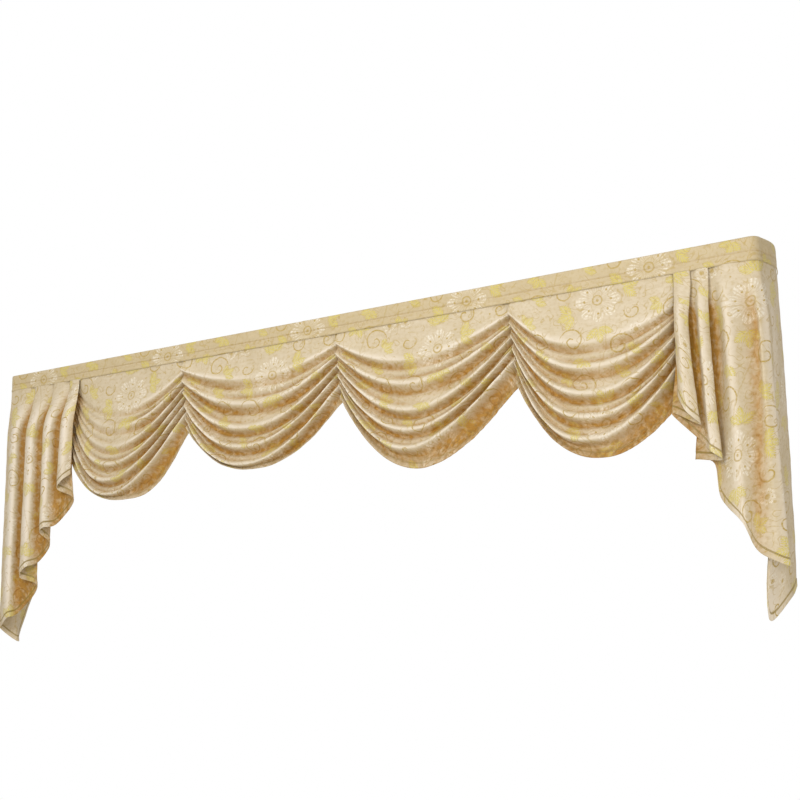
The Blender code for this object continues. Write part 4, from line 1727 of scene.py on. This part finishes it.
@dataclass
class Studio:
    """The camera at the valance's usual viewing angle, soft lights and a pale floor."""

    eye: tuple[float, float, float] = (2.4528, -3.6941, -1.2702)
    ahead: tuple[float, float, float] = (-0.4949, 0.8415, 0.2167)
    up: tuple[float, float, float] = (0.1288, -0.1756, 0.9760)
    lens: float = 62.443
    sensor: float = 36.0
    nearest: float = 0.05
    lamps: tuple[Lamp, ...] = LAMPS
    backdrop: str = "#ffffff"
    ambient_colour: str = "#fff7eb"
    ambient: float = 0.54
    floor_z: float = -2.30
    floor_half: float = 6.0

    def set_camera(self) -> None:
        """Makes the camera and gives it to the scene."""
        ahead, up = Vector(self.ahead).normalized(), Vector(self.up)
        right = ahead.cross(up).normalized()
        up = right.cross(ahead)
        turn = Matrix((right, up, -ahead)).transposed().to_4x4()
        camera = bpy.data.objects.new("Camera", bpy.data.cameras.new("Camera"))
        camera.data.lens = self.lens
        camera.data.sensor_width = self.sensor
        camera.data.clip_start = self.nearest
        camera.matrix_world = Matrix.Translation(self.eye) @ turn
        bpy.context.scene.collection.objects.link(camera)
        bpy.context.scene.camera = camera

    def set_lamps(self) -> None:
        """Makes the soft lamps."""
        for lamp in self.lamps:
            light = bpy.data.lights.new(lamp.name, "AREA")
            light.size = lamp.side
            light.energy = lamp.power
            light.color = linear(lamp.colour)[:3]
            holder = bpy.data.objects.new(lamp.name, light)
            away = Vector(lamp.place) - Vector(lamp.target)
            turn = away.to_track_quat("Z", "Y").to_matrix().to_4x4()
            holder.matrix_world = Matrix.Translation(lamp.place) @ turn
            bpy.context.scene.collection.objects.link(holder)

    def set_world(self) -> None:
        """Makes a world that lights softly and is seen as a white backdrop."""
        world = bpy.data.worlds.new("Pale studio")
        world.use_nodes = True
        tree = world.node_tree
        seen = tree.nodes["Background"]
        seen.inputs["Color"].default_value = linear(self.backdrop)
        known = add_steps(tree, {"seen": seen.outputs[0]}, (
            Step("lit", "ShaderNodeBackground", {}, {
                "Color": linear(self.ambient_colour), "Strength": self.ambient,
            }),
            Step("sight", "ShaderNodeLightPath", {}, (), "Is Camera Ray"),
            Step("mixed", "ShaderNodeMixShader", {}, ("sight", "lit", "seen")),
        ))
        tree.links.new(known["mixed"], tree.nodes["World Output"].inputs["Surface"])
        bpy.context.scene.world = world
        bpy.context.scene.view_settings.view_transform = "Standard"

    def lay_floor(self) -> None:
        """Makes the pale floor."""
        mesh = bpy.data.meshes.new("floor")
        shape = bmesh.new()
        bmesh.ops.create_grid(shape, x_segments=1, y_segments=1, size=self.floor_half)
        bmesh.ops.translate(shape, verts=shape.verts, vec=(0.0, 0.0, self.floor_z))
        shape.to_mesh(mesh)
        shape.free()
        mesh.materials.append(MattFloor().make())
        floor = bpy.data.objects.new("floor", mesh)
        bpy.context.scene.collection.objects.link(floor)

    def build(self) -> None:
        """Makes the camera, the lamps, the world and the floor."""
        self.set_camera()
        self.set_lamps()
        self.set_world()
        self.lay_floor()


@dataclass
class Valance:
    """The whole valance: every cloth with the node it stands for, its flat cut and its blossom."""

    satin: FiguredSatin = field(default_factory=FiguredSatin)
    heading_satin: FiguredSatin = field(default=FiguredSatin(ground="#c4b490", pale_ground="#cec0a0"))
    repeat: WovenRepeat = field(default_factory=WovenRepeat)
    swags: tuple[SwagPiece, ...] = (
        SwagPiece(
            "swag_1", BEHIND_LEFT_TAIL, FIRST_JUNCTION, BEHIND_LEFT, UNDER,
            HIDDEN_SEAM, SEAM_LAP, SWAG_1_FOLDS, (0.1, 0.15, 0.6), 0.0008,
        ),
        SwagPiece(
            "swag_2", FIRST_JUNCTION, SECOND_JUNCTION, OVER, UNDER,
            0.0, SEAM_LAP, SWAG_2_FOLDS, (0.1, 0.15, 0.6), 0.0008,
        ),
        SwagPiece(
            "swag_3", SECOND_JUNCTION, THIRD_JUNCTION, OVER, UNDER,
            0.0, SEAM_LAP, SWAG_3_FOLDS, (0.3, 0.5, 0.85), 0.0022,
        ),
        SwagPiece(
            "swag_4", THIRD_JUNCTION, BEHIND_RIGHT_TAIL, OVER, BEHIND_RIGHT,
            0.0, HIDDEN_SEAM, SWAG_4_FOLDS, (0.5, 0.9, 0.85), 0.0022,
        ),
    )
    tails: tuple[TailPiece, ...] = (
        TailPiece("tail_left", LEFT_TAIL_TURNS, shade_power=1.0, pale_hem=0.45, lit_hem=0.0),
        TailPiece("tail_right", RIGHT_TAIL_TURNS, shade_power=2.0, pale_hem=0.20, lit_hem=0.08),
    )
    draped_hem: float = 0.35
    gathered_hem: float = 0.85

    def dress(self, sheet: Sheet, drawn: bpy.types.NodeTree, thread: bpy.types.Material) -> None:
        """Builds one cloth with its stitches, and says what it stands for.

        Args:
            sheet: The cloth.
            drawn: The group that draws the woven repeat.
            thread: The stitches' finish.
        """
        node, cut = sheet.name, CUTS[sheet.name]
        across, down = sheet.seen_place(cut.blossom_x, cut.blossom_z)
        satin = self.satin if sheet.hemmed else self.heading_satin
        hem_share = self.gathered_hem if cut.held is Held.GATHERED else self.draped_hem
        cloth = sheet.build(satin.make(f"Jacquard satin, woven, on {node}", drawn, across, down, hem_share))
        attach(cloth, "root")
        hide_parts(node)
        stitches = StitchRow(f"{node}_stitches", sheet.stitched_line()).build(thread)
        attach(stitches, "root")
        LOG.info("%s: %d points, cut %.2f by %.2f m", node, sheet.depth.size, cut.width, cut.length)

    def build(self) -> None:
        """Builds every piece in order."""
        drawn = self.repeat.make()
        thread = SewingThread().make()
        for piece in (HeadingBand(), *self.swags, *self.tails):
            self.dress(piece.sheet(), drawn, thread)


def main() -> None:
    """Builds the valance and its studio, and reports each piece."""
    logging.basicConfig(level=logging.INFO, format="%(name)s: %(message)s")
    Valance().build()
    Studio().build()
    LOG.info("studio: camera, lights and floor")


if __name__ == "__main__":
    main()
